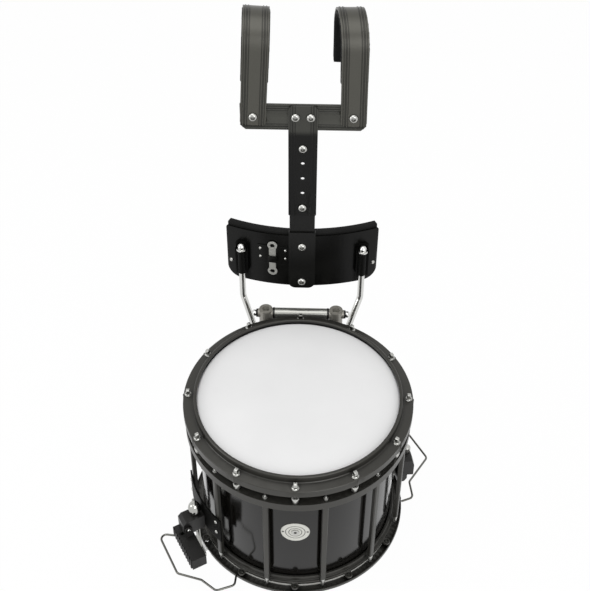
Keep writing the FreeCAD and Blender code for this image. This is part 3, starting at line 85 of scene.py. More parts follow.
# The eye, mirrors and clear film see a white room; matt surfaces get less of it, which leaves the
# panels room to model the form.
ROOM_LIGHT, FLOOR_GLOW = 0.62, 0.97
world = bpy.data.worlds.new("studio")
bpy.context.scene.world = world
world.use_nodes = True
world.node_tree.nodes.clear()
seen = add(world.node_tree, "ShaderNodeLightPath")
direct = add(world.node_tree, "ShaderNodeMath", {0: seen.outputs["Is Camera Ray"],
                                                 1: seen.outputs["Is Transmission Ray"]}, operation="MAXIMUM")
bare = add(world.node_tree, "ShaderNodeMath", {0: direct.outputs[0], 1: seen.outputs["Is Glossy Ray"]},
           operation="MAXIMUM")
strength = add(world.node_tree, "ShaderNodeMapRange", {"Value": bare.outputs[0], "To Min": ROOM_LIGHT,
                                                       "To Max": 1.0})
sky = add(world.node_tree, "ShaderNodeBackground", {"Color": (1, 1, 1, 1), "Strength": strength.outputs[0]})
add(world.node_tree, "ShaderNodeOutputWorld", {"Surface": sky.outputs[0]})


def mesh_object(name, corners, faces):
    """A mesh object at the origin from arrays of corners, in metres, and faces."""
    mesh = bpy.data.meshes.new(name)
    mesh.from_pydata(np.asarray(corners).tolist(), [], [list(face) for face in faces])
    mesh.validate()
    made = bpy.data.objects.new(name, mesh)
    bpy.context.scene.collection.objects.link(made)
    return made


FLOOR_HALF, FLOOR_LEVEL = 6.0, -0.001
floor_plan = [(-1, -1), (1, -1), (1, 1), (-1, 1)]
ground = mesh_object("ground", [(x * FLOOR_HALF, y * FLOOR_HALF, FLOOR_LEVEL) for x, y in floor_plan],
                     [(0, 1, 2, 3)])
paper = bpy.data.materials.new("white_paper_floor")
paper.use_nodes = True
paper.node_tree.nodes.clear()
ray = add(paper.node_tree, "ShaderNodeLightPath")
bright = add(paper.node_tree, "ShaderNodeMath", {0: ray.outputs["Is Camera Ray"],
                                                 1: ray.outputs["Is Glossy Ray"]}, operation="MAXIMUM")
matt = add(paper.node_tree, "ShaderNodeBsdfDiffuse", {"Color": linear("#f4f4f4")})
glow = add(paper.node_tree, "ShaderNodeEmission", {"Color": (1, 1, 1, 1), "Strength": 1.0})
share = add(paper.node_tree, "ShaderNodeMath", {0: bright.outputs[0], 1: FLOOR_GLOW}, operation="MULTIPLY")
both = add(paper.node_tree, "ShaderNodeMixShader", {0: share.outputs[0], 1: matt.outputs[0],
                                                    2: glow.outputs[0]})
add(paper.node_tree, "ShaderNodeOutputMaterial", {"Surface": both.outputs[0]})
ground.data.materials.append(paper)

for title, place, aim, width, power in (
        ("overhead_panel", (-0.5, -0.3, 2.9), (0, 0, 0.3), 2.2, 23.0),
        ("front_panel", (1.1, -2.4, 1.5), (0, 0, 0.25), 1.9, 32.0),
        ("left_panel", (-2.3, -0.8, 1.2), (0, 0, 0.35), 1.2, 12.0)):
    lamp_data = bpy.data.lights.new(title, "AREA")
    lamp_data.shape, lamp_data.size, lamp_data.energy = "SQUARE", width, power
    lamp = bpy.data.objects.new(title, lamp_data)
    lamp.location = place
    lamp.rotation_mode = "QUATERNION"
    lamp.rotation_quaternion = (Vector(aim) - Vector(place)).to_track_quat("-Z", "Y")
    bpy.context.scene.collection.objects.link(lamp)


# Shell
# A maple shell in gloss black lacquer over its whole outside, bare bearing edges under the heads,
# and one air vent with a plain round plate on the front.
def material(name, code, metallic=0.0, roughness=0.5, grain_mm=None, bump=0.0, vary=0.08, crease_shade_mm=None,
             **sockets):
    """Finish with its own colour, uneven roughness, a grain of a size in mm, and painted shade in its
    creases.

    A powder coat's or casting's real grain is about 0.3 mm, under a pixel; it is drawn 0.8 to 1 mm wide.
    """
    made = bpy.data.materials.new(name)
    made.use_nodes = True
    tree = made.node_tree
    tree.nodes.clear()
    shader = add(tree, "ShaderNodeBsdfPrincipled", {"Metallic": metallic})
    for key, value in sockets.items():
        shader.inputs[key.replace("_", " ")].default_value = value
    place = add(tree, "ShaderNodeTexCoord")
    cloud = add(tree, "ShaderNodeTexNoise", {"Vector": place.outputs["Object"], "Scale": 14.0, "Detail": 5.0})
    darker = [channel * (1 - vary) for channel in linear(code)[:3]] + [1.0]
    tint = add(tree, "ShaderNodeMix", {0: cloud.outputs["Fac"], 6: darker, 7: linear(code)}, data_type="RGBA")
    colour = tint.outputs[2]
    # Painted shade: the colour is darkened where other surfaces lie close, in creases and corners.
    if crease_shade_mm:
        open_air = add(tree, "ShaderNodeAmbientOcclusion", {"Distance": crease_shade_mm * MM}, samples=8)
        clear = add(tree, "ShaderNodeMapRange", {"Value": open_air.outputs["AO"], "From Min": 0.3,
                                                 "From Max": 0.85, "To Min": 0.12})
        engraving_and_crease_shade = add(tree, "ShaderNodeVectorMath", {0: colour, 1: clear.outputs[0]}, operation="MULTIPLY")
        colour = engraving_and_crease_shade.outputs[0]
    tree.links.new(colour, shader.inputs["Base Color"])
    spread = add(tree, "ShaderNodeMapRange", {"Value": cloud.outputs["Fac"], "From Min": 0.3, "From Max": 0.7,
                                              "To Min": roughness * (1 - vary),
                                              "To Max": roughness * (1 + vary)})
    tree.links.new(spread.outputs[0], shader.inputs["Roughness"])
    if grain_mm:
        grain = add(tree, "ShaderNodeTexNoise", {"Vector": place.outputs["Object"],
                                                 "Scale": 1.0 / (grain_mm * MM), "Detail": 2.0})
        relief = add(tree, "ShaderNodeBump", {"Height": grain.outputs["Fac"], "Strength": bump,
                                              "Distance": grain_mm * MM})
        tree.links.new(relief.outputs[0], shader.inputs["Normal"])
    add(tree, "ShaderNodeOutputMaterial", {"Surface": shader.outputs[0]})
    return made


def tidy(piece):
    """Merges doubles, drops faces without area and points every face outwards."""
    work = bmesh.new()
    work.from_mesh(piece.data)
    bmesh.ops.remove_doubles(work, verts=work.verts, dist=2e-6)
    bmesh.ops.dissolve_degenerate(work, dist=1e-6, edges=work.edges)
    bmesh.ops.recalc_face_normals(work, faces=work.faces)
    work.to_mesh(piece.data)
    work.free()
    return piece


def crisp(piece, width_mm, sharp=32.0):
    """Small rounded edges that catch the light, as on a real machined or moulded piece."""
    piece.data.shade_smooth()
    piece.data.set_sharp_from_angle(angle=math.radians(sharp))
    if width_mm:
        bevel = piece.modifiers.new("edges", "BEVEL")
        bevel.width, bevel.segments, bevel.limit_method = width_mm * MM, 2, "ANGLE"
        bevel.angle_limit = math.radians(sharp)
        bevel.harden_normals = True
    return piece


BODY_OF = {node: body for body, nodes in frame["record"]["behaviour"]["bodies"].items() for node in nodes}


def finish_piece(piece, finish, node):
    """Gives a piece its material and the body of the CAD node that it stands for, and hides that node."""
    piece.data.materials.clear()
    piece.data.materials.append(finish)
    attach(piece, BODY_OF[node])
    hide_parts(node)
    return piece


def node_copy(node, ending):
    """A CAD node's mesh copied into a new object, its doubles merged."""
    piece = bpy.data.objects.new(node + ending, frame["nodes"][node].data.copy())
    bpy.context.scene.collection.objects.link(piece)
    return tidy(piece)


def dressed(node, finish, width_mm=0.5, sharp=32.0):
    """A copy of a CAD node with softened edges and its own finish, in the node's place."""
    return finish_piece(crisp(node_copy(node, "_finish"), width_mm, sharp), finish, node)


def radial_normals(piece, least=0.97):
    """Normals (x, y, 0) / r, in or out, on a wall about Z, so that reflections run straight down it."""
    directions = []
    for face in piece.data.polygons:
        for corner in face.vertices:
            place = piece.data.vertices[corner].co
            radial = Vector((place.x, place.y, 0)).normalized()
            lie = face.normal.dot(radial)
            directions.append(radial * math.copysign(1, lie) if abs(lie) > least else face.normal)
    piece.data.normals_split_custom_set(directions)


def between(tree, value, low_mm, high_mm):
    """One where a distance lies between two limits, nothing elsewhere."""
    past = add(tree, "ShaderNodeMath", {0: value, 1: low_mm * MM}, operation="GREATER_THAN").outputs[0]
    short = add(tree, "ShaderNodeMath", {0: value, 1: high_mm * MM}, operation="LESS_THAN").outputs[0]
    return add(tree, "ShaderNodeMath", {0: past, 1: short}, operation="MULTIPLY").outputs[0]


def largest(tree, values):
    """The largest of several values."""
    total = values[0]
    for value in values[1:]:
        total = add(tree, "ShaderNodeMath", {0: total, 1: value}, operation="MAXIMUM").outputs[0]
    return total


# Polished lacquer: a sharp but dark mirror, slightly uneven.
lacquer = material("black_nitro_lacquer", "#0e0d0b", roughness=0.12, grain_mm=2.0, bump=0.01,
                   Specular_IOR_Level=0.3)
radial_normals(dressed("shell", lacquer, 0.0))
VENT_LEVEL = 166.0


def engraved_plate():
    """Pale satin steel; rings where a ramp of r = |(x, z) - centre| is dark, and two rivet dots."""
    made = material("brushed_vent_plate", "#cfcfc8", metallic=0.3, roughness=0.42, grain_mm=0.4, bump=0.05)
    tree = made.node_tree
    shader = next(node for node in tree.nodes if node.type == "BSDF_PRINCIPLED")
    pale = shader.inputs["Base Color"].links[0].from_socket
    place = add(tree, "ShaderNodeTexCoord").outputs["Object"]
    flat = add(tree, "ShaderNodeVectorMath", {0: place, 1: (1, 0, 1)}, operation="MULTIPLY").outputs[0]
    marks = []
    for centre_x, inner, outer in ((0, 16.2, 17.4), (0, 10.6, 11.8), (-21.2, 0, 2.0), (21.2, 0, 2.0)):
        centre = (centre_x * MM, 0, VENT_LEVEL * MM)
        far = add(tree, "ShaderNodeVectorMath", {0: flat, 1: centre}, operation="DISTANCE").outputs["Value"]
        marks.append(between(tree, far, inner, outer))
    engraving_and_crease_shade = add(tree, "ShaderNodeMix", {0: largest(tree, marks), 6: pale, 7: linear("#1c1c19")},
               data_type="RGBA")
    tree.links.new(engraving_and_crease_shade.outputs[2], shader.inputs["Base Color"])
    return made


dressed("badge_plate", engraved_plate(), 0.2)
# Chrome plate: a clear mirror on large rods; darker in the creases of small hardware, softer where brushed,
# with painted shade in the creases of both.
chrome = material("polished_chrome_plate", "#d9d9d6", metallic=1.0, roughness=0.12, vary=0.15)
small_chrome = material("chrome_hardware", "#b9b9b5", metallic=1.0, roughness=0.14, vary=0.15, crease_shade_mm=5)
soft_chrome = material("satin_chrome_plate", "#c4c4c0", metallic=0.9, roughness=0.3, vary=0.1, crease_shade_mm=4)
dressed("vent_grommet", soft_chrome, 0.15)


# Heads
# Woven aramid with a white coating on the batter side, clear film under the snares. The batter's
# coating is slightly uneven, with the weave just showing through.
def lathe(profile, segments=192):
    """Closed half section of (radius, height) in mm, turned about Z: x = r cos a, y = r sin a."""
    section = np.array(profile, float) * MM
    angles = np.linspace(0, 2 * np.pi, segments, endpoint=False)
    radius, level = section[:, 0], section[:, 1]
    corners = np.stack([np.outer(np.cos(angles), radius), np.outer(np.sin(angles), radius),
                        np.tile(level, (segments, 1))], axis=2).reshape(-1, 3)
    return corners, wrap(segments, len(profile), True, True)


def wrap(rows, columns, close_rows, close_columns):
    """Quads between the corners of a grid, joined round where a direction is closed."""
    row = np.arange(rows if close_rows else rows - 1)[:, None]
    column = np.arange(columns if close_columns else columns - 1)[None, :]
    after, beside = (row + 1) % rows, (column + 1) % columns
    quads = np.stack([row * columns + column, after * columns + column,
                      after * columns + beside, row * columns + beside], axis=2)
    return quads.reshape(-1, 4)


def new_piece(node, shape, finish, sharp, name=None):
    """A new surface in the place of a CAD node, its edges sharp past an angle."""
    piece = tidy(mesh_object((name or node) + "_finish", *shape))
    return finish_piece(crisp(piece, 0, sharp), finish, node)


def coated_weave():
    """White coating whose height follows two crossed waves; real threads lie 0.5 mm apart, drawn 1.3."""
    made = bpy.data.materials.new("coated_woven_head")
    made.use_nodes = True
    tree = made.node_tree
    tree.nodes.clear()
    place = add(tree, "ShaderNodeTexCoord").outputs["Object"]
    thread = 1.3 * MM
    stripes = {"Vector": place, "Scale": 1 / (20 * thread), "Distortion": 0.4}
    weft, warp = (add(tree, "ShaderNodeTexWave", stripes, bands_direction=axis) for axis in "XY")
    cross = add(tree, "ShaderNodeMath", {0: weft.outputs["Fac"], 1: warp.outputs["Fac"]},
                operation="MULTIPLY")
    patch = add(tree, "ShaderNodeTexNoise", {"Vector": place, "Scale": 9.0, "Detail": 6.0})
    coat = add(tree, "ShaderNodeMix", {0: patch.outputs["Fac"], 6: linear("#dedede"), 7: linear("#e9e9e9")},
               data_type="RGBA")
    relief = add(tree, "ShaderNodeBump", {"Height": cross.outputs[0], "Strength": 0.12, "Distance": 0.1 * MM})
    shader = add(tree, "ShaderNodeBsdfPrincipled", {"Base Color": coat.outputs[2], "Roughness": 0.55,
                                                    "Normal": relief.outputs[0]})
    add(tree, "ShaderNodeOutputMaterial", {"Surface": shader.outputs[0]})
    return made


HEAD = 315.0
batter_profile = [(0, HEAD), (60, HEAD), (120, HEAD), (174.6, HEAD), (176.2, HEAD - 0.5), (177.9, HEAD - 1.9),
                  (179.0, HEAD - 3.0), (180.9, HEAD - 6), (182.1, HEAD - 9), (182.2, 303.0), (186.8, 302.8),
                  (186.8, 294.0), (181.8, 294.0), (181.8, HEAD - 9.2), (175.2, HEAD - 0.4), (0, HEAD - 0.4)]
new_piece("batter_head", lathe(batter_profile), coated_weave(), 40)
# Clear film: smooth and glossy, almost without colour.
clear_film = material("clear_snare_film", "#c9c9c4", roughness=0.25, vary=0.03)
dressed("snare_head", clear_film, 0.0)

# Hoops and rings
# Cast and rolled metal in a satin powder coat of dark warm grey. The two hoops press the heads down,
# the two rings carry the struts, and all four are drilled for the tension rods.
# Powder coat: a soft sheen broken by fine orange peel, with painted shade in the corners.
powder = material("dark_grey_powder_coat", "#34332f", metallic=0.4, roughness=0.34, grain_mm=0.9, bump=0.05,
                  crease_shade_mm=14)
for ring_name, round_mm in (("top_hoop", 1.2), ("upper_ring", 0.8), ("lower_ring", 1.0),
                            ("bottom_hoop", 1.0)):
    dressed(ring_name, powder, round_mm)
dressed("struts", powder, 0.4)
dressed("strut_tips", soft_chrome, 0.15)


# Rods, nuts and studs
# Plated steel hardware: key rods with a square head over a washer face, receiver nuts on the upper
# ring, coated nuts under the lower ring, and small studs with hex nuts over the struts.
def joined(*shapes):
    """One corner array and one face list from several."""
    corners, faces, base = [], [], 0
    for points, quads in shapes:
        corners.append(np.asarray(points))
        faces += [tuple(int(i) + base for i in face) for face in quads]
        base += len(points)
    return np.vstack(corners), faces


def moved(shape, offset):
    """A shape carried by an offset in mm."""
    return shape[0] + np.array(offset) * MM, shape[1]


def round_drum(shape, angles):
    """Copies of a shape at angles about Z: each corner's x and y turn by the angle."""
    copies = []
    for angle in np.radians(angles):
        c, s = math.cos(angle), math.sin(angle)
        copies.append((shape[0] @ np.array([[c, s, 0], [-s, c, 0], [0, 0, 1]]), shape[1]))
    return joined(*copies)


def square_key(half, base, top):
    """Square pin whose plan is a superellipse of power 8, with a pyramid top."""
    angle = np.linspace(0, 2 * np.pi, 32, endpoint=False)
    c, s = np.cos(angle), np.sin(angle)
    reach = 1 / (np.abs(c) ** 8 + np.abs(s) ** 8) ** 0.125
    rows = []
    for scale, level in ((1, base), (1, top - 1.2), (0.88, top - 0.3), (0.7, top), (0.0, top)):
        rows.append(np.stack([half * scale * reach * c, half * scale * reach * s, np.full(32, level)], 1))
    return np.vstack(rows) * MM, wrap(5, 32, False, True)


RODS, ROD_CIRCLE = 12, 193.5
SNARE_TURN = 120
rods = [index * 360 / RODS for index in range(RODS)]
# No bolt stands where the snares pass, at one turn from the front and opposite it.
open_rods = [angle for angle in rods if angle % 180 != SNARE_TURN]
front_rod = (0, -ROD_CIRCLE, 0)
seat = 311.0
key_rod = joined(
    lathe([(0, seat - 46), (2.3, seat - 46), (2.75, seat - 45.2), (2.75, seat), (6.2, seat),
           (6.4, seat + 0.25), (6.4, seat + 0.95), (6.1, seat + 1.2), (5.7, seat + 1.25),
           (5.6, seat + 2.4), (4.9, seat + 3.1), (0, seat + 3.2)], 24),
    square_key(3.3, seat + 3.0, seat + 11.4))
new_piece("top_tension_rods", round_drum(moved(key_rod, front_rod), rods), small_chrome, 38)
receiver = lathe([(3.5, 273), (4.6, 273), (4.9, 273.9), (6.2, 281.6), (6.6, 283.0), (6.6, 286.0),
                  (6.1, 286.8), (5.4, 287), (3.5, 287)], 28)
new_piece("receiver_nuts", round_drum(moved(receiver, front_rod), rods), soft_chrome, 38)
dressed("bottom_nuts", powder, 0.2)
cap_bolt = lathe([(0, 5.2), (4.4, 5.2), (5.2, 6.0), (5.6, 8.4), (2.8, 8.4), (2.8, 22.9), (2.3, 23.4),
                  (0, 23.4)], 24)
# Zinc plate: grey metal that has lost its shine, with painted shade in its creases.
dull_plate = material("dull_zinc_plate", "#4a4a46", metallic=1.0, roughness=0.45, vary=0.1, crease_shade_mm=8)
new_piece("bottom_tension_bolts", round_drum(moved(cap_bolt, front_rod), open_rods), dull_plate, 38,
          name="bottom_bolts")
dressed("strut_studs", soft_chrome, 0.2, 40)

# Snares
# Twelve straight coated wires under the snare-side head, gripped at both ends in steel clamps.
# Stainless steel: a bright metal blurred by fine brushing.
steel = material("brushed_stainless_steel", "#a8a8a4", metallic=1.0, roughness=0.3, grain_mm=0.3, bump=0.04)
for snare_part in ("snare_strands", "strainer_snare_clamp", "butt_snare_clamp"):
    dressed(snare_part, steel, 0.1 if snare_part == "snare_strands" else 0.4)

# Strainer and butt
# Die-cast housings in black powder coat on curved plates, with a ribbed nylon throw-off lever on a
# steel pin and knurled chrome knobs that draw the snares tight.
# Powder-coated casting, moulded nylon and rolled plate: three blacks, from a soft sheen to nearly matt.
black_cast = material("black_cast_housing", "#151413", roughness=0.36, grain_mm=0.8, bump=0.1,
                      Specular_IOR_Level=0.35)
nylon = material("moulded_black_nylon", "#11100f", roughness=0.45, grain_mm=0.5, bump=0.12,
                 Specular_IOR_Level=0.3)
black_plate = material("black_rolled_plate", "#0b0b0a", roughness=0.5, grain_mm=0.9, bump=0.04,
                       Specular_IOR_Level=0.06)
for plate_name in ("strainer_saddle", "butt_saddle"):
    dressed(plate_name, black_plate, 0.4)
for housing in ("strainer_block", "butt_block"):
    dressed(housing, black_cast, 0.8)
dressed("throw_off_lever", nylon, 0.7)
dressed("lever_pin", chrome, 0.3)
dressed("saddle_screws", small_chrome, 0.3)
knob = lathe([(0, 106.4), (4.2, 106.4), (6.4, 112), (9.4, 121), (10.5, 126), (11.3, 127.3), (11.6, 130),
              (11.3, 134), (10.2, 138.5), (8.2, 142.3), (5.6, 144.8), (3.4, 145.8), (3.2, 147),
              (3.2, 155.4), (2.6, 156.4), (0, 156.4)], 48)
KNOB_AXIS = (-182.46, -109.96, 0)
new_piece("tension_knob", moved(knob, KNOB_AXIS), small_chrome, 40)
dressed("butt_knob", soft_chrome, 0.15, 20)


# Wire guards
# Plated steel wire, 4 mm thick, bent round the strainer and the butt and held at the bottom hoop.
def bent_line(corners, bend, steps=7):
    """Points along straight runs whose corners are rounded by arcs of one radius."""
    corners = [np.array(corner, float) for corner in corners]
    line = [corners[0]]
    for before, here, after in zip(corners, corners[1:], corners[2:]):
        into, away = here - before, after - here
        into, away = into / np.linalg.norm(into), away / np.linalg.norm(away)
        angle = math.acos(np.clip(into @ away, -1, 1))
        inward = (away - into) / np.linalg.norm(away - into)
        centre = here + inward * bend / math.cos(angle / 2)
        start = here - into * bend * math.tan(angle / 2) - centre
        for share in np.linspace(0, 1, steps):
            line.append(centre + start * math.cos(share * angle) + into * bend * math.sin(share * angle))
    line.append(corners[-1])
    return np.array(line) * MM


def tube(line, radius_mm, sides=16):
    """Round bar: at each point a circle lies across the path's direction, turned as little as possible."""
    step = np.gradient(line, axis=0)
    step /= np.linalg.norm(step, axis=1)[:, None]
    side = np.cross(step[0], [0.3, 0.2, 1.0])
    rows = []
    for direction, point in zip(step, line):
        side = side - direction * (side @ direction)
        side /= np.linalg.norm(side)
        other = np.cross(direction, side)
        angle = np.linspace(0, 2 * np.pi, sides, endpoint=False)
        rows.append(point + radius_mm * MM * (np.outer(np.cos(angle), side) + np.outer(np.sin(angle), other)))
    ends = [np.tile(line[0], (sides, 1)), *rows, np.tile(line[-1], (sides, 1))]
    return np.vstack(ends), wrap(len(ends), sides, False, True)


def at_turn(route, angle, level):
    """Plan points made about +X, stood at an angle round the drum at one height."""
    a = math.radians(angle)
    return [(x * math.cos(a) - y * math.sin(a), x * math.sin(a) + y * math.cos(a), level) for x, y in route]


def on_circle(radius, angle):
    """Plan point at an angle in degrees on a circle about Z."""
    return radius * math.cos(math.radians(angle)), radius * math.sin(math.radians(angle))


GUARD_SEAT, GUARD_LEVEL, GUARD_BEND, WIRE = 201.75, 17.0, 9.0, 2.0
# Dull nickel on drawn wire: a dark metal with a narrow bright line along it.
wire_plate = material("dull_nickel_wire", "#6b6b66", metallic=1.0, roughness=0.22, vary=0.15)
# Each guard's turn about Z, its ends' angles on the hoop, and the corners between them in plan.
for guard, facing, first, last, corners in (
        ("strainer_guard", 210, 28, -7,
         [(190, 112), (224, 106), (238, 74), (271, 41), (269, -53), (243, -34)]),
        ("butt_guard", 30, -31, 14,
         [(197, -107), (211.5, -72.5), (275, -40.5), (276, 44), (247, 56)])):
    plan = [on_circle(GUARD_SEAT, first)] + corners + [on_circle(GUARD_SEAT, last)]
    wire = tube(bent_line(at_turn(plan, facing, GUARD_LEVEL), GUARD_BEND), WIRE)
    new_piece(guard, wire, wire_plate, 50)

# Mount behind the drum
# Two black plate arms on the rear struts carry a satin tube; in it an axle joins the two sockets
# that the carrier's rods go up into, each locked by a side bolt on a washer.
# Anodised tube and sand-cast sockets: a smooth grey sheen beside a duller, pitted one.
tube_coat = material("satin_grey_tube", "#a3a39e", metallic=0.8, roughness=0.2, grain_mm=0.7, bump=0.02)
cast_grey = material("grey_cast_socket", "#97948c", metallic=0.45, roughness=0.38, grain_mm=0.9, bump=0.1)
dressed("mount_arms", black_cast, 0.5)
dressed("mount_tube", tube_coat, 0.5)
dressed("mount_screws", chrome, 0.3)
dressed("sockets", cast_grey, 0.7, 28)
dressed("pinch_washers", nylon, 0.4, 28)
dressed("pinch_bolts", chrome, 0.4)
dressed("axle", steel, 0.2, 40)

# J-rods
# Chromed steel rod, 12.6 mm thick, bent so that it drops from the belly plate, passes under and
# comes up into the socket. Moulded guides hold the tops under chrome cap nuts.
GUIDE_X, GUIDE_Y, SOCKET_X, SOCKET_Y, FOOT = 116.5, 290, 67.5, 222, 195
TOP, KNEE, TIP, FOOT_SHARE = 399, 282, 300, 0.72
for rod_name, side in (("left_j_rod", -1), ("right_j_rod", 1)):
    under_guide = np.array((side * GUIDE_X, GUIDE_Y, FOOT))
    under_socket = np.array((side * SOCKET_X, SOCKET_Y, FOOT))
    bottom = under_guide + FOOT_SHARE * (under_socket - under_guide)
    bends = [(side * GUIDE_X, GUIDE_Y, TOP), (side * GUIDE_X, GUIDE_Y, KNEE), bottom, under_socket,
             (side * SOCKET_X, SOCKET_Y, TIP)]
    new_piece(rod_name, tube(bent_line(bends, 18.0, 12), 6.25, 28), chrome, 50)
dressed("rod_guides", black_plate, 0.5)
cap = lathe([(0, 399.3), (9.0, 399.3), (9.4, 399.8), (9.3, 401.4), (8.4, 402.3), (6.8, 402.4), (6.8, 408.3),
             (6.2, 409), (5.6, 411), (4.4, 412.8), (2.6, 414), (0, 414.3)], 30)
caps = joined(moved(cap, (-GUIDE_X, GUIDE_Y, 0)), moved(cap, (GUIDE_X, GUIDE_Y, 0)))
new_piece("cap_nuts", caps, chrome, 40)

# Belly plate and bars
# A curved sheet of black-coated aluminium with the stem clamped to its front in a bracket; the tee
# bar slides on the stem and carries the ribbed cross bar. Round-head bolts hold them together.
# Paint on sheet and satin coat on bars: blacks with a broad, faint highlight.
plate_coat = material("black_sheet_coat", "#0a0a09", roughness=0.3, grain_mm=1.0, bump=0.02,
                      Specular_IOR_Level=0.15)
black_bar = material("satin_black_bar", "#0d0d0c", roughness=0.34, grain_mm=0.8, bump=0.04,
                     Specular_IOR_Level=0.25)
BAR_HALF, CROSS_Z, BAR_FACE, STRAP_X = 25.5, 711.0, 274.65, 86.0
FADE_FROM, FADE_TO = 672.0, 686.0
RIB_SHADOWS = ((2.4, 4.0), (5.9, 8.9), (10.9, 12.8))


def rib_shaded(finish, far, half_mm, upper=None):
    """Painted shade: dark lines beside the ribs, at distances from the bar's edge; upper colours the bar's
    top end.
    """
    tree = finish.node_tree
    shader = next(node for node in tree.nodes if node.type == "BSDF_PRINCIPLED")
    base = shader.inputs["Base Color"].links[0].from_socket
    if upper:
        level = add(tree, "ShaderNodeSeparateXYZ", {0: add(tree, "ShaderNodeTexCoord").outputs["Object"]})
        high = add(tree, "ShaderNodeMapRange", {"Value": level.outputs[2], "From Min": FADE_FROM * MM,
                                                "From Max": FADE_TO * MM}, interpolation_type="SMOOTHSTEP")
        base = add(tree, "ShaderNodeMix", {0: high.outputs[0], 6: base, 7: linear(upper)},
                   data_type="RGBA").outputs[2]
    off = add(tree, "ShaderNodeMath", {0: far}, operation="ABSOLUTE").outputs[0]
    bands = [between(tree, off, half_mm - inner, half_mm - outer) for outer, inner in RIB_SHADOWS]
    rib_shade = add(tree, "ShaderNodeMath", {0: largest(tree, bands), 1: 0.62}, operation="MULTIPLY")
    dark = add(tree, "ShaderNodeMix", {0: rib_shade.outputs[0], 6: base, 7: linear("#0b0b0a")}, data_type="RGBA")
    tree.links.new(dark.outputs[2], shader.inputs["Base Color"])
    return finish


def along(finish, axis, centre_mm=0.0):
    """Object coordinate along one axis, measured from a centre."""
    tree = finish.node_tree
    place = add(tree, "ShaderNodeSeparateXYZ", {0: add(tree, "ShaderNodeTexCoord").outputs["Object"]})
    far = add(tree, "ShaderNodeMath", {0: place.outputs[axis], 1: centre_mm * MM}, operation="SUBTRACT")
    return far.outputs[0]


dressed("belly_plate", plate_coat, 0.5)
dressed("belly_bracket", black_bar, 0.6)
dressed("stem_bar", black_bar, 0.5)
tee_coat = material("black_tee_extrusion", "#0b0b0a", roughness=0.34, grain_mm=0.8, bump=0.04,
                    Specular_IOR_Level=0.2)
# The tee and cross bars get painted shade in dark lines beside their ribs.
dressed("tee_bar", rib_shaded(tee_coat, along(tee_coat, 0), BAR_HALF, "#3a3a36"), 0.35)
# Thinner paint on the cross bar and straps: the metal under it gives a warmer, brighter grey.
cross_coat = material("dark_grey_cross_bar", "#43433e", metallic=0.5, roughness=0.34, grain_mm=0.8, bump=0.03)
dressed("cross_bar", rib_shaded(cross_coat, along(cross_coat, 2, 707.8), BAR_HALF), 0.3)


def socket_bolts(node, places, length):
    """Button-head bolts lying along Y at the given seats: half sections of (radius, depth) turned."""
    shape = lathe([(3.0, -0.04), (8.0, -0.04), (8.2, -0.5), (7.9, -1.7), (7.0, -3.2), (5.8, -4.3),
                   (4.6, -4.9), (3.9, -4.9), (3.6, -4.5), (3.5, -1.8), (0, -1.8), (0, length - 0.6),
                   (0, length), (2.5, length), (3.0, length - 0.5)], 36)
    lying = shape[0][:, [0, 2, 1]]
    bolts = joined(*(moved((lying, shape[1]), place) for place in places))
    return new_piece(node, bolts, small_chrome, 40)


BRACKET_FACE, BRACKET_LENGTH, BAR_LENGTH = 275.85, 7.4, 9.0
socket_bolts("bracket_bolts", [(0, BRACKET_FACE, level) for level in (333, 421)], BRACKET_LENGTH)
tee_places = [(0, BAR_FACE, 516), (0, BAR_FACE, 646.8)] + [(x, BAR_FACE, CROSS_Z) for x in (-13.2, 13.2)]
socket_bolts("harness_bolts", tee_places, BAR_LENGTH)
socket_bolts("strap_bolts", [(x, BAR_FACE, CROSS_Z) for x in (-STRAP_X, STRAP_X)], BAR_LENGTH)
dressed("plate_rivets", small_chrome, 0.3, 26)
dressed("key_holder", plate_coat, 0.4)
# Nickelled steel: between the grey of its holder and chrome.
key_plate = material("plated_key_steel", "#b9b9b4", metallic=0.6, roughness=0.3, grain_mm=0.4, bump=0.03)
dressed("tuning_key", key_plate, 0.4)

# Shoulder straps
# The same ribbed aluminium bar bent over each shoulder, in satin dark grey, its lower corners round.
strap_coat = material("dark_grey_strap_bar", "#4c4b45", metallic=0.5, roughness=0.34, grain_mm=0.8, bump=0.03)
STRAP_HALF = 22.25
# Painted shade in dark lines beside the strap's ribs, measured across the bar.
own = add(strap_coat.node_tree, "ShaderNodeAttribute", attribute_name="across")
rib_shaded(strap_coat, own.outputs["Fac"], STRAP_HALF)


def applied(piece):
    """Gives a piece the mesh that its modifiers make."""
    graph = bpy.context.evaluated_depsgraph_get()
    solid = bpy.data.meshes.new_from_object(piece.evaluated_get(graph))
    piece.modifiers.clear()
    piece.data = solid
    return piece


def drilled(piece, hole):
    """Cuts a hole's shape out of a piece."""
    drill = tidy(mesh_object("drill", *hole))
    bore = piece.modifiers.new("bolt_hole", "BOOLEAN")
    bore.operation, bore.object, bore.solver = "DIFFERENCE", drill, "EXACT"
    applied(piece)
    bpy.data.objects.remove(drill)
    return piece


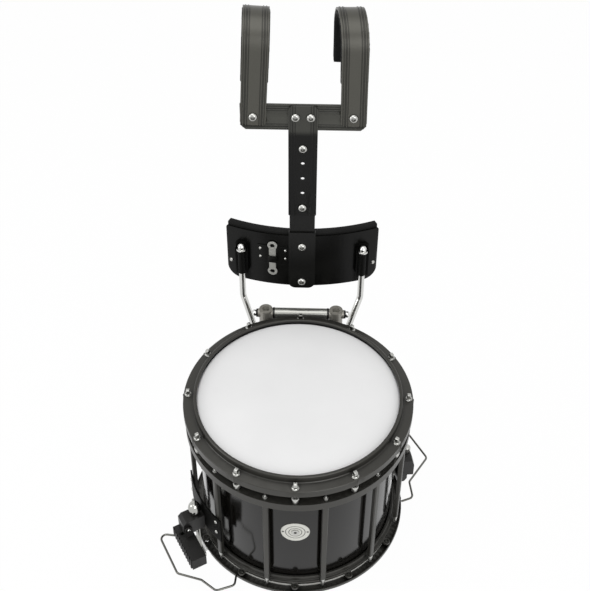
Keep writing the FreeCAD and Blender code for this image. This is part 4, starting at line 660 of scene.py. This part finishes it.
def arched_bar(name, side, lean, drift):
    """Section (u, r) swept up a line, round a half circle and down, y = c - r cos t and z = b + r sin t.

    The bar leans by an angle in degrees about its bolt and drifts sideways, per mm, towards the back.
    """
    low_z, bend_z, tail, centre_y, back_y = 694.0, 834.0, 71.0, 326.65, 278.65
    half, corner = STRAP_HALF, 9.0
    edge = [(half, 48.0), (half, 51.7), (half - 0.3, 52.0)]
    for start in (4.0, 9.0):
        edge += [(half - start, 52.0), (half - start - 0.25, 53.0), (half - start - 1.55, 53.0),
                 (half - start - 1.8, 52.0)]
    section = np.array(edge + [(-across, r) for across, r in reversed(edge)])
    ease = corner * (1 - np.cos(np.linspace(0, np.pi / 2, 9)))
    lifts = np.concatenate([low_z + ease, np.linspace(low_z + corner, bend_z, 16)[1:]])
    turns = np.linspace(0, np.pi, 73)[1:]
    stations = [(0.0, lift - bend_z) for lift in lifts] + [(t, 0.0) for t in turns]
    stations += [(np.pi, -drop) for drop in np.linspace(0, tail, 8)[1:]]
    rows, across_rows = [], []
    for t, lift in stations:
        rise = min(max(lift + bend_z - low_z, 0.0), corner) if t == 0.0 else corner
        limit = half + 0.6 - corner + math.sqrt(corner ** 2 - (corner - rise) ** 2)
        across = np.clip(section[:, 0], -limit, limit)
        y = centre_y - section[:, 1] * math.cos(t)
        rows.append(np.stack([across - drift * (y - back_y), y,
                              bend_z + section[:, 1] * math.sin(t) + lift], 1))
        across_rows.append(across)
    rows = [np.tile(rows[0].mean(0), (len(section), 1)), *rows, np.tile(rows[-1].mean(0), (len(section), 1))]
    across_rows = [np.zeros(len(section)), *across_rows, np.zeros(len(section))]
    points = np.vstack(rows)
    angle = math.radians(lean)
    up = points[:, 2] - CROSS_Z
    turned = np.stack([points[:, 0] * math.cos(angle) + up * math.sin(angle) + side * STRAP_X, points[:, 1],
                       CROSS_Z - points[:, 0] * math.sin(angle) + up * math.cos(angle)], 1) * MM
    piece = mesh_object(name + "_finish", turned, wrap(len(rows), len(section), False, True))
    value = piece.data.attributes.new("across", "FLOAT", "POINT")
    value.data.foreach_set("value", np.concatenate(across_rows).astype(np.float32) * MM)
    hole = tube(np.array([(side * STRAP_X, depth, CROSS_Z) for depth in (260.0, 300.0)]) * MM, 3.3, 24)
    return finish_piece(crisp(drilled(tidy(piece), hole), 0, 30), strap_coat, name)


arched_bar("left_strap", -1, 3.0, 0.05)
arched_bar("right_strap", 1, -0.9, 0.122)


# Foam pads
# Closed-cell foam skinned in black: a thick one behind the belly plate and a strip in each strap.
# Skinned foam: matt, with a faint sheen and a pebbled surface.
foam_skin = material("skinned_black_foam", "#080807", roughness=0.7, grain_mm=0.9, bump=0.3, vary=0.15,
                     Specular_IOR_Level=0.2)


def soft_copy(node, voxel_mm, loft_mm=0.0):
    """Padded piece from a CAD foam solid: remeshed, smoothed, its upper half h raised by loft h ** 2."""
    piece = node_copy(node, "_foam")
    remesh = piece.modifiers.new("skin", "REMESH")
    remesh.mode, remesh.voxel_size = "VOXEL", voxel_mm * MM
    relax = piece.modifiers.new("relax", "SMOOTH")
    relax.factor, relax.iterations = 0.5, 3
    solid = applied(piece).data
    points = np.empty(len(solid.vertices) * 3)
    solid.vertices.foreach_get("co", points)
    points = points.reshape(-1, 3)
    share = (points[:, 2] - points[:, 2].min()) / np.ptp(points[:, 2])
    points[:, 2] += loft_mm * MM * np.clip(2 * share - 1, 0, 1) ** 2
    solid.vertices.foreach_set("co", points.ravel())
    solid.shade_smooth()
    finish_piece(piece, foam_skin, node)


soft_copy("belly_pad", 2.0, 8.5)
soft_copy("left_strap_pad", 1.6)
soft_copy("right_strap_pad", 1.6)
